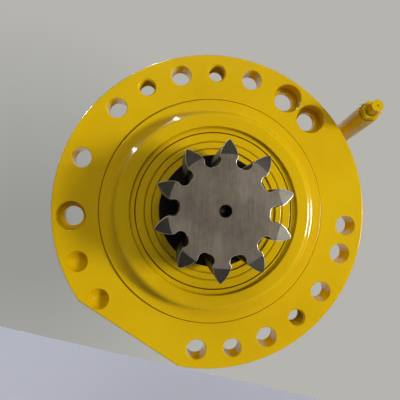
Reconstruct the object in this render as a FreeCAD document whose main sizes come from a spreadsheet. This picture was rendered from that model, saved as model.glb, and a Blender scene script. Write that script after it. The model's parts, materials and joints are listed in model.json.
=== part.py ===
"""Swing drive of an excavator: hydraulic motor, brake, two planetary stages and the drive pinion.

The axis lies along Y. The origin is the centre of the flange's mounting face. The pinion stands out
towards -Y, the gear stages and the motor follow towards +Y, and +Z is up.
Angles are in degrees in the XZ plane, from +X towards +Z. Lengths are in millimetres.
"""

import FreeCAD, Part
import Sketcher
import math
import os
from FreeCAD import Placement, Rotation, Vector

# Driving sizes

SIZES = (
    # Flange
    ("FlangeRadius", 210),
    ("FlangeThickness", 30),
    ("RimChamfer", 2),
    ("BoltCircleInset", 25),
    ("BoltHoleRadius", 13),
    ("DowelHoleRadius", 12),
    ("TappedHoleRadius", 10.5),
    ("CounterboreRadius", 19),
    ("CounterboreDepth", 18),
    ("DimpleInset", 22),
    ("DimpleRadius", 13.75),
    ("DimpleDepth", 10),
    ("FlatInset", 15),
    ("FlatAngle", 237.9),
    # Front boss
    ("PilotRadius", 148),
    ("PilotHeight", 4),
    ("BossRadius", 128),
    ("BossHeight", 28),
    ("BossRound", 8),
    ("BossFillet", 9),
    ("RecessRadius", 106.5),
    ("RecessHeight", 20),
    ("RecessChamfer", 1.5),
    # Case behind the flange
    ("NeckRadius", 122),
    ("NeckWall", 17),
    ("NeckFillet", 10),
    ("CaseRimRadius", 158),
    ("CaseRimThickness", 24),
    ("RimSlope", 12),
    ("RibCount", 8),
    ("RibThickness", 13),
    ("RibHeight", 15),
    ("BearingLip", 10),
    ("LipDepth", 10),
    # Pinion and its shaft
    ("PinionTeeth", 10),
    ("PinionModule", 12),
    ("PinionPressureAngle", 20),
    ("PinionTipRadius", 75),
    ("PinionRootRadius", 46.8),
    ("PinionToothThickness", 18.7),
    ("PinionToothAngle", 88.25),
    ("PinionReach", 126),
    ("PinionFlatRadius", 59),
    ("PinionBevel", 4.5),
    ("PinionRunout", 8),
    ("CentreHoleRadius", 6.5),
    ("CentreHoleDepth", 40),
    ("ShoulderRadius", 70),
    ("ShoulderReach", 36),
    # Seal and its collar
    ("CollarReach", 24),
    ("CollarRadius", 88),
    ("CollarLandRadius", 80),
    ("CollarStep", 2.5),
    ("CollarRound", 2),
    ("CollarSeatRadius", 66),
    ("SealRadius", 101),
    ("SealWidth", 14),
    ("SealInset", 0.5),
    ("SealGroove", 1.2),
    # Shaft bearings
    ("BearingWall", 12),
    ("RollerRadius", 7),
    ("FrontBearingPlace", 6),
    ("FrontBearingSeat", 60),
    ("FrontBearingWidth", 50),
    ("FrontRollers", 14),
    ("RearBearingInset", 58),
    ("RearBearingSeat", 54),
    ("RearBearingWidth", 40),
    ("RearRollers", 12),
    ("RollerEndPlay", 4),
    ("ShaftBodyRadius", 56),
    ("NutRadius", 64),
    ("NutWidth", 12),
    ("NutSeatRadius", 48),
    ("SplineRadius", 44),
    # Output stage
    ("CaseLength", 186),
    ("OutputRingWall", 33.5),
    ("OutputSunTeeth", 15),
    ("OutputPlanetTeeth", 12),
    ("OutputRingLength", 72),
    ("OutputCarrierInset", 50),
    ("OutputCarrierSink", 4),
    ("OutputPlateThickness", 14),
    ("OutputFaceWidth", 40),
    ("OutputPinRadius", 16),
    ("OutputBushWall", 4),
    ("OutputPostRadius", 14),
    ("OutputPostInset", 66),
    # Input stage
    ("InputRingWall", 46.75),
    ("InputSunTeeth", 12),
    ("InputPlanetTeeth", 15),
    ("InputRingLength", 60),
    ("InputCarrierInset", 61),
    ("InputCarrierGap", 2),
    ("InputPlateThickness", 11),
    ("InputFaceWidth", 30),
    ("InputPinRadius", 12),
    ("InputBushWall", 3.5),
    ("InputPostRadius", 11),
    ("InputPostInset", 76),
    # Teeth of both stages
    ("PlanetCount", 3),
    ("GearPressureAngle", 25),
    ("ToothAddendum", 0.9),
    ("ToothDedendum", 1.25),
    ("GearThinning", 0.3),
    ("RingThinning", 0.9),
    ("PlanetSidePlay", 2),
    ("SunHubWall", 10),
    # Fits
    ("RunningClearance", 0.05),
    ("SideClearance", 0.3),
    # Long bolts through the rings
    ("CaseBoltCount", 8),
    ("CaseBoltInset", 16),
    ("CaseBoltRadius", 8),
    ("CaseBoltClearance", 1),
    ("CaseBoltAngle", 22.5),
    ("CaseBoltGrip", 24),
    ("BoltHeadRatio", 1.5),
    # Motor case
    ("MotorFlangeThickness", 24),
    ("MotorWallThickness", 44),
    ("MotorBodyRadius", 114),
    ("MotorBodyLength", 162),
    ("MotorBoreRadius", 100),
    ("BrakeShoulderRadius", 94),
    ("BrakeShoulderPlace", 110),
    ("MotorFillet", 10),
    ("LugOffset", 84),
    ("LugRadius", 18),
    ("LugLength", 34),
    ("CoverBoltRadius", 8),
    ("CoverBoltGrip", 26),
    # Motor shaft and its bearings
    ("MotorShaftRadius", 22),
    ("SunSeatRadius", 17),
    ("MotorBearingSeat", 24),
    ("MotorBearingWall", 6),
    ("MotorRollerRadius", 5),
    ("MotorBearingWidth", 20),
    ("MotorRollers", 10),
    ("ShaftSealRadius", 36),
    ("ShaftSealWidth", 12),
    ("ShaftSealPlace", 3),
    ("TailRadius", 17),
    ("TailBearingWall", 6),
    ("TailBearingWidth", 18),
    # Swash plate, slippers and cylinder block
    ("SwashAngle", 12),
    ("SwashPlace", 18),
    ("SwashRadius", 68),
    ("SwashBoreRadius", 30),
    ("ShoeRadius", 11.5),
    ("ShoeThickness", 9),
    ("RetainerRadius", 64),
    ("RetainerBoreRadius", 34),
    ("RetainerThickness", 4),
    ("RetainerPlace", 3),
    ("PistonCount", 9),
    ("PistonCircle", 48),
    ("PistonRadius", 9.5),
    ("PistonLength", 52),
    ("PistonOut", 18),
    ("BlockPlace", 58),
    ("BlockRadius", 70),
    ("BlockLength", 54),
    ("ValvePlateRadius", 62),
    # Brake
    ("BrakeDiscCount", 3),
    ("BrakeDiscThickness", 2.8),
    ("BrakePlateThickness", 3),
    ("BrakeGap", 0.1),
    ("BrakeDiscRadius", 92),
    ("BrakePlateBore", 76),
    ("BrakePistonBore", 77),
    ("BrakePistonLength", 16),
    ("BrakeSpringThickness", 2),
    ("BrakeSpringBore", 80),
    # Valve cover
    ("CoverHalfWidth", 100),
    ("CoverThickness", 74),
    ("CoverCorner", 24),
    ("CoverChamfer", 4),
    ("PortRadius", 12.5),
    ("PortDepth", 40),
    ("PortOffset", 44),
    ("PortRise", 30),
    ("PortBoltAcross", 22.2),
    ("PortBoltAlong", 47.6),
    ("PortBoltRadius", 4.25),
    ("PortBoltDepth", 18),
    ("ReliefDrop", 42),
    ("ReliefRadius", 15),
    ("ReliefHexRadius", 19),
    ("ReliefLength", 34),
    ("ReliefDepth", 30),
    ("PlugRadius", 10),
    ("PlugHexRadius", 13),
    ("PlugHeight", 9),
    ("PlugDepth", 14),
    # Drain pipe and plug
    ("DrainAngle", 30.35),
    ("DrainPlace", 104),
    ("DrainStandoff", 24.6),
    ("DrainMouthStandoff", 27.3),
    ("DrainMouthAngle", 34.5),
    ("DrainMouthReach", 36),
    ("DrainPipeRadius", 13.5),
    ("DrainBoreRadius", 10),
    ("DrainBend", 34),
    ("DrainBossRadius", 21),
    ("BossRise", 16),
    ("PipeSocket", 10),
    ("PlugCollarAcross", 23),
    ("PlugCollarHeight", 8),
    ("PlugHeadAcross", 14.5),
    ("PlugHeadHeight", 16),
    ("PlugThread", 14),
    # Oil gauge
    ("GaugeAngle", 120.5),
    ("GaugePlace", 104),
    ("GaugeStandoff", 28),
    ("GaugePipeRadius", 9),
    ("GaugeBoreRadius", 6),
    ("GaugeBend", 30),
    ("GaugeRise", 88),
    ("GaugeBossRadius", 15),
    ("DipstickRadius", 3),
    ("DipstickDepth", 250),
    ("DipstickCapRadius", 12),
    ("DipstickCapHeight", 14),
    ("ClampThickness", 5),
    ("ClampWidth", 26),
    # Breather
    ("BreatherAngle", 90),
    ("BreatherStandoff", 21),
    ("BreatherRadius", 6),
    ("BreatherCapRadius", 12),
    ("BreatherHeight", 22),
)

THROUGH_HOLES = (75, 105, 135, 160, 265.5, 295.5, 325.5, 343.6, 355.7)
DOWEL_HOLES = (280.5,)
TAPPED_HOLES = (90, 120, 310.5)
COUNTERBORED_HOLES = (44.8, 58, 184.2)
DIMPLES = (202.6, 219.8)

doc = FreeCAD.newDocument("swing_motor")
sheet = doc.addObject("Spreadsheet::Sheet", "Sizes")


class Size:
    """A number of the sheet, with the expression that keeps a feature bound to its cells."""

    def __init__(self, value, text):
        self.value = float(value)
        self.text = text

    def __add__(self, other):
        other = as_size(other)
        return Size(self.value + other.value, f"({self.text} + {other.text})")

    def __sub__(self, other):
        other = as_size(other)
        return Size(self.value - other.value, f"({self.text} - {other.text})")

    def __mul__(self, other):
        other = as_size(other)
        return Size(self.value * other.value, f"({self.text} * {other.text})")

    def __truediv__(self, other):
        other = as_size(other)
        return Size(self.value / other.value, f"({self.text} / {other.text})")

    def __neg__(self):
        return Size(-self.value, f"(0 - {self.text})")

    def __float__(self):
        return self.value


def as_size(number):
    return number if isinstance(number, Size) else Size(number, repr(float(number)))


class Sheet:
    """Reads the cells by name, so that S.FlangeRadius is the flange's radius."""

    def __getattr__(self, alias):
        return Size(sheet.get(alias), f"Sizes.{alias}")


S = Sheet()
ZERO = Size(0, "0")


def fill_sheet():
    rows = list(SIZES)
    for name, angles in (
        ("ThroughHole", THROUGH_HOLES),
        ("DowelHole", DOWEL_HOLES),
        ("TappedHole", TAPPED_HOLES),
        ("CounterboredHole", COUNTERBORED_HOLES),
        ("Dimple", DIMPLES),
    ):
        rows += [(f"{name}Angle{chr(65 + i)}", angle) for i, angle in enumerate(angles)]
    for row, (alias, number) in enumerate(rows, start=1):
        sheet.set(f"A{row}", alias)
        sheet.set(f"B{row}", str(number))
        sheet.setAlias(f"B{row}", alias)
    doc.recompute()


def angles_of(name, angles):
    return [getattr(S, f"{name}Angle{chr(65 + i)}") for i in range(len(angles))]


fill_sheet()

# Sketches and features


def polar(radius, angle):
    """The X and Z of a point at that radius and angle, bound to the sheet."""
    turn = math.radians(angle.value)
    return (
        Size(radius.value * math.cos(turn), f"({radius.text} * cos({angle.text} * 1 deg))"),
        Size(radius.value * math.sin(turn), f"({radius.text} * sin({angle.text} * 1 deg))"),
    )


def new_body(label):
    body = doc.addObject("PartDesign::Body", label)
    body.Label = label
    return body


def sketch_on(body, role, place=None):
    """A sketch on the body's own XY plane, or on its XZ plane moved to a place along Y."""
    sketch = body.newObject("Sketcher::SketchObject", body.Name + "_sketch")
    plane = [feature for feature in body.Origin.OriginFeatures if feature.Role == role][0]
    sketch.AttachmentSupport = (plane, [""])
    sketch.MapMode = "FlatFace"
    if place is not None:
        sketch.AttachmentOffset = Placement(Vector(0, 0, -place.value), Rotation())
        sketch.setExpression("AttachmentOffset.Base.z", f"0 - {place.text}")
    return sketch


def tie(sketch, edge, point, x, y):
    """Holds a point of the sketch at x and y."""
    for kind, size in (("DistanceX", x), ("DistanceY", y)):
        index = sketch.addConstraint(Sketcher.Constraint(kind, -1, 1, edge, point, size.value))
        sketch.setExpression(f"Constraints[{index}]", size.text)


def toward(start, end):
    """The direction of an edge that runs along one of the sketch's axes."""
    across, up = end[0].value - start[0].value, end[1].value - start[1].value
    return (math.copysign(1, across), 0) if abs(across) > abs(up) else (0, math.copysign(1, up))


def outline(sketch, corners):
    """A closed outline through (x, y) corners. A third value rounds that square corner."""
    corners = [tuple(as_size(value) for value in corner) for corner in corners]
    stops = []
    for i, corner in enumerate(corners):
        if len(corner) == 2:
            stops.append((corner, corner, None))
            continue
        x, y, radius = corner
        come = toward(corners[i - 1], corner)
        leave = toward(corner, corners[(i + 1) % len(corners)])
        first = (x - radius * come[0], y - radius * come[1])
        last = (x + radius * leave[0], y + radius * leave[1])
        stops.append((first, last, (radius, come, leave)))
    for i, (first, last, bend) in enumerate(stops):
        ahead = stops[(i + 1) % len(stops)][0]
        if bend is not None:
            round_corner(sketch, first, last, bend)
        straight = Part.LineSegment(
            Vector(last[0].value, last[1].value, 0), Vector(ahead[0].value, ahead[1].value, 0)
        )
        edge = sketch.addGeometry(straight, False)
        tie(sketch, edge, 1, *last[:2])
        tie(sketch, edge, 2, *ahead[:2])


def round_corner(sketch, first, last, bend):
    radius, come, leave = bend
    centre = Vector(
        first[0].value + radius.value * leave[0], first[1].value + radius.value * leave[1], 0
    )
    turns_left = come[0] * leave[1] - come[1] * leave[0] > 0
    ends = (first, last) if turns_left else (last, first)
    sides = [math.atan2(end[1].value - centre.y, end[0].value - centre.x) for end in ends]
    circle = Part.Circle(centre, Vector(0, 0, 1), radius.value)
    edge = sketch.addGeometry(Part.ArcOfCircle(circle, sides[0], sides[1]), False)
    tie(sketch, edge, 1, *ends[0])
    tie(sketch, edge, 2, *ends[1])
    index = sketch.addConstraint(Sketcher.Constraint("Radius", edge, radius.value))
    sketch.setExpression(f"Constraints[{index}]", radius.text)


def circle(sketch, x, y, radius):
    edge = sketch.addGeometry(
        Part.Circle(Vector(x.value, y.value, 0), Vector(0, 0, 1), radius.value), False
    )
    tie(sketch, edge, 3, x, y)
    index = sketch.addConstraint(Sketcher.Constraint("Radius", edge, radius.value))
    sketch.setExpression(f"Constraints[{index}]", radius.text)


def turned(label, *profiles):
    """A piece turned about Y from profiles of (radius, place along Y)."""
    body = new_body(label)
    sketch = sketch_on(body, "XY_Plane")
    for corners in profiles:
        outline(sketch, corners)
    turn = body.newObject("PartDesign::Revolution", label + "_turned")
    turn.Profile = sketch
    turn.ReferenceAxis = (sketch, ["V_Axis"])
    turn.Angle = 360
    return body


def sleeve(label, bore, outside, start, length):
    """A plain turned ring."""
    end = start + length
    return turned(label, [(bore, start), (outside, start), (outside, end), (bore, end)])


def padded(body, sketch, length, name):
    """Adds the sketch's outline, from the sketch towards +Y."""
    pad = body.newObject("PartDesign::Pad", name)
    pad.Profile = sketch
    pad.Length = length.value
    pad.setExpression("Length", length.text)
    pad.Reversed = True
    return pad


def pocketed(body, sketch, depth, name, toward_front=False):
    """Cuts the sketch's outline, from the sketch towards +Y, or towards -Y."""
    pocket = body.newObject("PartDesign::Pocket", name)
    pocket.Profile = sketch
    pocket.Length = depth.value
    pocket.setExpression("Length", depth.text)
    pocket.Reversed = toward_front
    return pocket


def holes(body, name, place, depth, radius, points, toward_front=False):
    sketch = sketch_on(body, "XZ_Plane", place)
    for x, z in points:
        circle(sketch, x, z, radius)
    return pocketed(body, sketch, depth, name, toward_front)


def even_circle(radius, count, start):
    """Evenly spaced points on a circle, bound to the sheet."""
    whole = int(round(count.value))
    return [polar(radius, start + 360 / whole * step) for step in range(whole)]


def made(label, shape):
    """A piece whose shape is worked out here from the sheet's values."""
    feature = doc.addObject("Part::Feature", label)
    feature.Label = label
    feature.Shape = shape
    return feature


# Shapes worked out from the sheet's values


def at(radius, angle, place):
    turn = math.radians(float(angle))
    return Vector(float(radius) * math.cos(turn), float(place), float(radius) * math.sin(turn))


ALONG = Vector(0, 1, 0)


def rod(radius, start, length, angle=0, circle_radius=0):
    """A cylinder along Y at a radius and angle from the axis."""
    return Part.makeCylinder(
        float(radius), float(length), at(circle_radius, angle, start), ALONG
    )


def ring_of(shape, count, start=0.0):
    """Copies of a shape spaced evenly round the Y axis, the first turned to the start angle."""
    copies = []
    for step in range(int(count)):
        copy = shape.copy()
        copy.rotate(Vector(0, 0, 0), ALONG, -(float(start) + 360.0 / int(count) * step))
        copies.append(copy)
    return Part.makeCompound(copies)


def hexagon(across, start, height, origin=Vector(0, 0, 0), direction=ALONG):
    """A hexagonal prism, its width given across the flats."""
    reach = float(across) / 2 / math.cos(math.radians(30))
    corners = [
        Vector(reach * math.cos(math.radians(60 * i)), reach * math.sin(math.radians(60 * i)), 0)
        for i in range(7)
    ]
    prism = Part.Face(Part.makePolygon(corners)).extrude(Vector(0, 0, float(height)))
    turn = Rotation(Vector(0, 0, 1), direction)
    prism.Placement = Placement(origin + direction * float(start), turn)
    return prism


def socket_screw(radius, under_head, length, circle_radius, angle=0):
    """A socket head screw whose head stands on the place under_head and points towards +Y."""
    head = float(radius) * float(S.BoltHeadRatio)
    tall = 2 * float(radius)
    centre = at(circle_radius, angle, 0)
    screw = rod(radius, float(under_head) - float(length), length, angle, circle_radius)
    screw = screw.fuse(rod(head, under_head, tall, angle, circle_radius))
    across = 1.7 * float(radius)
    depth = float(radius)
    recess = hexagon(across, float(under_head) + tall - depth, depth, centre)
    return screw.cut(recess).removeSplitter()


def involute(angle):
    return math.tan(angle) - angle


def half_tooth(radius, pitch, base, half_at_pitch, pressure):
    """Half of the angle that a tooth fills at a radius."""
    slope = math.acos(min(1.0, base / radius))
    return half_at_pitch + involute(pressure) - involute(slope)


class Gear:
    """The numbers of one spur gear of the planetary stages."""

    def __init__(self, teeth, module, inside=False):
        self.teeth = int(round(float(teeth)))
        self.module = float(module)
        self.pitch = self.teeth * self.module / 2
        self.pressure = math.radians(float(S.GearPressureAngle))
        self.base = self.pitch * math.cos(self.pressure)
        side = -1 if inside else 1
        self.tip = self.pitch + side * float(S.ToothAddendum) * self.module
        self.root = self.pitch - side * float(S.ToothDedendum) * self.module
        thinning = float(S.RingThinning) if inside else -float(S.GearThinning)
        self.half_at_pitch = math.pi / 2 / self.teeth + thinning / 2 / self.pitch

    def half(self, radius):
        return half_tooth(
            max(radius, self.base), self.pitch, self.base, self.half_at_pitch, self.pressure
        )

    def wire(self, angle, place):
        """The outline of the teeth, or of a ring's gaps, with one centred on the angle."""
        points = []
        low, high = min(self.root, self.tip), max(self.root, self.tip)
        for step in range(self.teeth):
            middle = math.radians(float(angle)) + 2 * math.pi / self.teeth * step
            for radius, side in ((low, -1), (high, -1), (high, 1), (low, 1)):
                turn = math.degrees(middle + side * self.half(radius))
                points.append(at(radius, turn, place))
        return Part.makePolygon(points + points[:1])


def toothed(gear, angle, start, width, bore, centre=Vector(0, 0, 0)):
    """A spur gear with a plain bore."""
    face = flat_face([gear.wire(angle, start), circle_wire(bore, start)])
    solid = face.extrude(ALONG * float(width))
    solid.translate(centre)
    return solid


def flat_face(wires):
    """A face whose inner wires are holes."""
    return Part.makeFace(wires, "Part::FaceMakerBullseye")


def circle_wire(radius, place, circle_radius=0, angle=0):
    ring = Part.Circle(at(circle_radius, angle, place), ALONG, float(radius))
    return Part.Wire(ring.toShape())


class Stage:
    """One planetary stage: its gears, and the angles at which they mesh."""

    def __init__(self, sun_teeth, planet_teeth, ring_wall):
        ring_teeth = float(sun_teeth) + 2 * float(planet_teeth)
        room = float(S.CaseRimRadius) - float(ring_wall)
        module = room / (ring_teeth / 2 + float(S.ToothDedendum))
        self.sun = Gear(sun_teeth, module)
        self.planet = Gear(planet_teeth, module)
        self.ring = Gear(ring_teeth, module, inside=True)
        self.spread = self.sun.pitch + self.planet.pitch
        self.sun_angle = 90.0

    def planet_angle(self, seat):
        """The angle of one of a planet's teeth, so that its gaps take the sun's teeth."""
        off = self.sun_angle - seat
        return seat + 180 - off * self.sun.teeth / self.planet.teeth + 180 / self.planet.teeth

    def gap_angle(self):
        """The angle of one of the ring's gaps, which takes a tooth of the planet at the top."""
        off = self.planet_angle(90.0) - 90.0
        return 90.0 + off * self.planet.teeth / self.ring.teeth


OUTPUT = Stage(S.OutputSunTeeth, S.OutputPlanetTeeth, S.OutputRingWall)
INPUT = Stage(S.InputSunTeeth, S.InputPlanetTeeth, S.InputRingWall)
SEATS = tuple(90.0 + 360.0 / int(float(S.PlanetCount)) * i for i in range(int(float(S.PlanetCount))))

# Radii and places along Y that several pieces share

bolt_circle = S.FlangeRadius - S.BoltCircleInset
gauge_reach = S.CaseRimRadius + S.GaugeStandoff
case_bolt_circle = S.CaseRimRadius - S.CaseBoltInset
breather_circle = S.MotorBodyRadius + S.BreatherStandoff
output_carrier_radius = S.CaseRimRadius - S.OutputCarrierInset
input_carrier_radius = S.CaseRimRadius - S.InputCarrierInset
front_bearing_end = S.FrontBearingPlace + S.FrontBearingWidth
rear_bearing_place = S.CaseLength - S.RearBearingInset
rear_bearing_end = rear_bearing_place + S.RearBearingWidth
front_bearing_radius = S.FrontBearingSeat + S.BearingWall * 2 + S.RollerRadius * 2
rear_bearing_radius = S.RearBearingSeat + S.BearingWall * 2 + S.RollerRadius * 2
seal_back = -S.RecessHeight + S.SealInset + S.SealWidth
case_end = S.CaseLength
output_ring_end = case_end + S.OutputRingLength
output_carrier_place = case_end - S.OutputCarrierSink
input_carrier_place = output_ring_end + S.InputCarrierGap
input_ring_end = output_ring_end + S.InputRingLength
motor_flange_end = input_ring_end + S.MotorFlangeThickness
gauge_end = motor_flange_end + S.GaugeRise
motor_wall_end = input_ring_end + S.MotorWallThickness
motor_end = input_ring_end + S.MotorBodyLength
brake_shoulder = input_ring_end + S.BrakeShoulderPlace
cover_end = motor_end + S.CoverThickness
swash_centre = motor_wall_end + S.SwashPlace
block_start = motor_wall_end + S.BlockPlace
block_end = block_start + S.BlockLength


# Gear case


def gear_case():
    body = new_body("case_casting")
    profile = sketch_on(body, "XY_Plane")
    rim_start = case_end - S.CaseRimThickness
    cavity = S.NeckRadius - S.NeckWall
    outline(
        profile,
        [
            (S.SealRadius, -S.RecessHeight),
            (S.RecessRadius, -S.RecessHeight),
            (S.RecessRadius + S.RecessChamfer, -S.BossHeight),
            (S.BossRadius, -S.BossHeight, S.BossRound),
            (S.BossRadius, -S.PilotHeight, S.BossFillet),
            (S.PilotRadius, -S.PilotHeight),
            (S.PilotRadius, ZERO),
            (S.FlangeRadius - S.RimChamfer, ZERO),
            (S.FlangeRadius, S.RimChamfer),
            (S.FlangeRadius, S.FlangeThickness - S.RimChamfer),
            (S.FlangeRadius - S.RimChamfer, S.FlangeThickness),
            (S.NeckRadius, S.FlangeThickness, S.NeckFillet),
            (S.NeckRadius, rim_start - S.RimSlope),
            (S.CaseRimRadius, rim_start),
            (S.CaseRimRadius, case_end),
            (output_carrier_radius + 3, case_end),
            (output_carrier_radius + 3, rear_bearing_end + S.SideClearance),
            (rear_bearing_radius, rear_bearing_end + S.SideClearance),
            (rear_bearing_radius, rear_bearing_place),
            (rear_bearing_radius - S.LipDepth, rear_bearing_place),
            (rear_bearing_radius - S.LipDepth, rear_bearing_place - S.BearingLip),
            (cavity, rear_bearing_place - S.BearingLip),
            (cavity, front_bearing_end + S.BearingLip),
            (front_bearing_radius - S.LipDepth, front_bearing_end + S.BearingLip),
            (front_bearing_radius - S.LipDepth, front_bearing_end),
            (front_bearing_radius, front_bearing_end),
            (front_bearing_radius, seal_back),
            (S.SealRadius, seal_back),
        ],
    )
    turn = body.newObject("PartDesign::Revolution", "case_turned")
    turn.Profile = profile
    turn.ReferenceAxis = (profile, ["V_Axis"])
    turn.Angle = 360
    case_ribs(body, rim_start)
    flange_flat(body)
    flange_holes(body)
    grip = S.CaseBoltGrip
    around = even_circle(case_bolt_circle, S.CaseBoltCount, S.CaseBoltAngle)
    holes(body, "case_bolt_holes", case_end, grip, S.CaseBoltRadius, around, True)
    return body


def case_ribs(body, rim_start):
    """Ribs between the flange and the rear rim, along the neck."""
    sketch = sketch_on(body, "XY_Plane")
    inside = S.NeckRadius - S.NeckWall / 4
    crest = S.NeckRadius + S.RibHeight
    sunk = S.RimChamfer
    outline(
        sketch,
        [
            (inside, S.FlangeThickness - sunk),
            (crest + S.RibHeight, S.FlangeThickness - sunk),
            (crest, S.FlangeThickness + S.RibHeight * 2),
            (crest, rim_start - S.RibHeight),
            (crest + S.RibHeight, rim_start + sunk),
            (inside, rim_start + sunk),
        ],
    )
    rib = body.newObject("PartDesign::Pad", "case_rib")
    rib.Profile = sketch
    rib.setExpression("Length", S.RibThickness.text)
    rib.Midplane = True
    doc.recompute()
    pattern = body.newObject("PartDesign::PolarPattern", "case_rib_pattern")
    pattern.Originals = [rib]
    axis = [feature for feature in body.Origin.OriginFeatures if feature.Role == "Y_Axis"][0]
    pattern.Axis = (axis, [""])
    pattern.Angle = 360
    pattern.setExpression("Occurrences", S.RibCount.text)
    body.Tip = pattern
    doc.recompute()


def flange_flat(body):
    """The flat across the rim, square to its own angle."""
    sketch = sketch_on(body, "XZ_Plane", ZERO)
    far = S.FlangeRadius * 1.2
    corners = []
    near = S.FlangeRadius - S.FlatInset
    for reach, side in ((near, -1), (far, -1), (far, 1), (near, 1)):
        x, z = polar(reach, S.FlatAngle)
        across, up = polar(S.FlangeRadius, S.FlatAngle + 90 * side)
        corners.append((x + across, z + up))
    outline(sketch, corners)
    return pocketed(body, sketch, S.FlangeThickness, "flange_flat")


def flange_holes(body):
    """The holes in the flange: through, dowel, tapped and counterbored ones."""

    def spots(name, angles):
        return [polar(bolt_circle, angle) for angle in angles_of(name, angles)]

    through = S.FlangeThickness
    counterbored = spots("CounterboredHole", COUNTERBORED_HOLES)
    plain = spots("ThroughHole", THROUGH_HOLES) + counterbored
    dowels = spots("DowelHole", DOWEL_HOLES)
    tapped = spots("TappedHole", TAPPED_HOLES)
    holes(body, "bolt_holes", ZERO, through, S.BoltHoleRadius, plain)
    holes(body, "dowel_holes", ZERO, through, S.DowelHoleRadius, dowels)
    holes(body, "tapped_holes", ZERO, through, S.TappedHoleRadius, tapped)
    holes(body, "counterbores", ZERO, S.CounterboreDepth, S.CounterboreRadius, counterbored)


def dimples():
    """Balls that leave the two round-bottomed dimples in the flange's face."""
    rim, depth = S.DimpleRadius, S.DimpleDepth
    ball_radius = (rim * rim / depth + depth) / 2
    balls = []
    for index, angle in enumerate(angles_of("Dimple", DIMPLES)):
        x, z = polar(S.FlangeRadius - S.DimpleInset, angle)
        ball = doc.addObject("Part::Sphere", f"dimple_{index + 1}")
        ball.setExpression("Radius", ball_radius.text)
        ball.setExpression("Placement.Base.x", x.text)
        ball.setExpression("Placement.Base.y", (depth - ball_radius).text)
        ball.setExpression("Placement.Base.z", z.text)
        balls.append(ball)
    return balls


def radial_cylinder(label, radius, angle, place, start, length):
    """A cylinder that points straight out from the axis."""
    cylinder = doc.addObject("Part::Cylinder", label)
    cylinder.setExpression("Radius", radius.text)
    cylinder.setExpression("Height", length.text)
    x, z = polar(start, angle)
    cylinder.Placement = Placement(
        Vector(x.value, place.value, z.value), Rotation(Vector(0, 1, 0), 90)
    )
    cylinder.setExpression("Placement.Base.x", x.text)
    cylinder.setExpression("Placement.Base.y", place.text)
    cylinder.setExpression("Placement.Base.z", z.text)
    cylinder.setExpression("Placement.Rotation.Axis.x", "0")
    cylinder.setExpression("Placement.Rotation.Axis.y", "1")
    cylinder.setExpression("Placement.Rotation.Axis.z", "0")
    cylinder.setExpression("Placement.Rotation.Angle", f"(90 - {angle.text}) * 1 deg")
    return cylinder


def case_with_bosses():
    """The case with the bosses that take the drain pipe and the gauge pipe."""
    casting = gear_case()
    wall_middle = S.NeckRadius - S.NeckWall / 2
    boss_end = S.NeckRadius + S.BossRise
    cavity = S.NeckRadius - S.NeckWall
    fused = doc.addObject("Part::MultiFuse", "case_and_bosses")
    bosses, bores = [], []
    drain_radii = (S.DrainBossRadius, S.DrainPipeRadius, S.DrainBoreRadius)
    gauge_radii = (S.GaugeBossRadius, S.GaugePipeRadius, S.GaugeBoreRadius)
    for name, angle, place, (boss, pipe, bore) in (
        ("drain", S.DrainAngle, S.DrainPlace, drain_radii),
        ("gauge", S.GaugeAngle, S.GaugePlace, gauge_radii),
    ):
        rise = boss_end - wall_middle
        bosses.append(radial_cylinder(name + "_boss", boss, angle, place, wall_middle, rise))
        socket = boss_end - S.PipeSocket
        seat = radial_cylinder(name + "_seat", pipe, angle, place, socket, S.BossRise)
        passage = radial_cylinder(name + "_bore", bore, angle, place, cavity / 2, boss_end / 2)
        bores += [seat, passage]
    fused.Shapes = [casting] + bosses
    drilled = doc.addObject("Part::MultiFuse", "case_bores")
    drilled.Shapes = bores + dimples()
    case = doc.addObject("Part::Cut", "gear_case")
    case.Label = "gear_case"
    case.Base = fused
    case.Tool = drilled
    return case


# Pinion shaft, seal and bearings


def pinion_outline(place):
    """The pinion's outline: involute flanks to the tips, arcs at the tips and in the roots."""
    teeth = int(round(float(S.PinionTeeth)))
    pitch = float(S.PinionModule) * teeth / 2
    pressure = math.radians(float(S.PinionPressureAngle))
    base = pitch * math.cos(pressure)
    half_at_pitch = float(S.PinionToothThickness) / 2 / pitch
    root, tip = float(S.PinionRootRadius), float(S.PinionTipRadius)
    step = 2 * math.pi / teeth
    radii = [base + (tip - base) * part for part in (0, 0.25, 0.5, 0.75, 1)]
    halves = [half_tooth(radius, pitch, base, half_at_pitch, pressure) for radius in radii]
    root_round = (step / 2 - halves[0]) * 0.55

    def point(radius, turn):
        return at(radius, math.degrees(turn), place)

    edges = []
    for tooth in range(teeth):
        middle = math.radians(float(S.PinionToothAngle)) + step * tooth
        rise = Part.BSplineCurve()
        rise.interpolate([point(r, middle - h) for r, h in zip(radii, halves)])
        fall = Part.BSplineCurve()
        fall.interpolate([point(r, middle + h) for r, h in reversed(list(zip(radii, halves)))])
        foot = middle + halves[0]
        lift = root + (base - root) * 0.45
        low = foot + root_round
        next_foot = middle + step - halves[0]
        bend, crook = root + (lift - root) * 0.35, root_round * 0.22
        ends = (point(root, low), point(root, next_foot - root_round))
        near = Part.Arc(point(base, foot), point(bend, foot + crook), ends[0])
        bottom = Part.Arc(ends[0], point(root, middle + step / 2), ends[1])
        after = Part.Arc(ends[1], point(bend, next_foot - crook), point(base, next_foot))
        top = Part.Arc(
            point(tip, middle - halves[-1]), point(tip, middle), point(tip, middle + halves[-1])
        )
        edges += [rise.toShape(), top.toShape(), fall.toShape()]
        edges += [near.toShape(), bottom.toShape(), after.toShape()]
    return Part.Wire(edges)


def revolved(corners):
    """A solid of revolution about Y from (radius, place) corners."""
    points = [Vector(float(radius), float(place), 0) for radius, place in corners]
    face = Part.Face(Part.makePolygon(points + points[:1]))
    return face.revolve(Vector(0, 0, 0), ALONG, 360)


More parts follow.
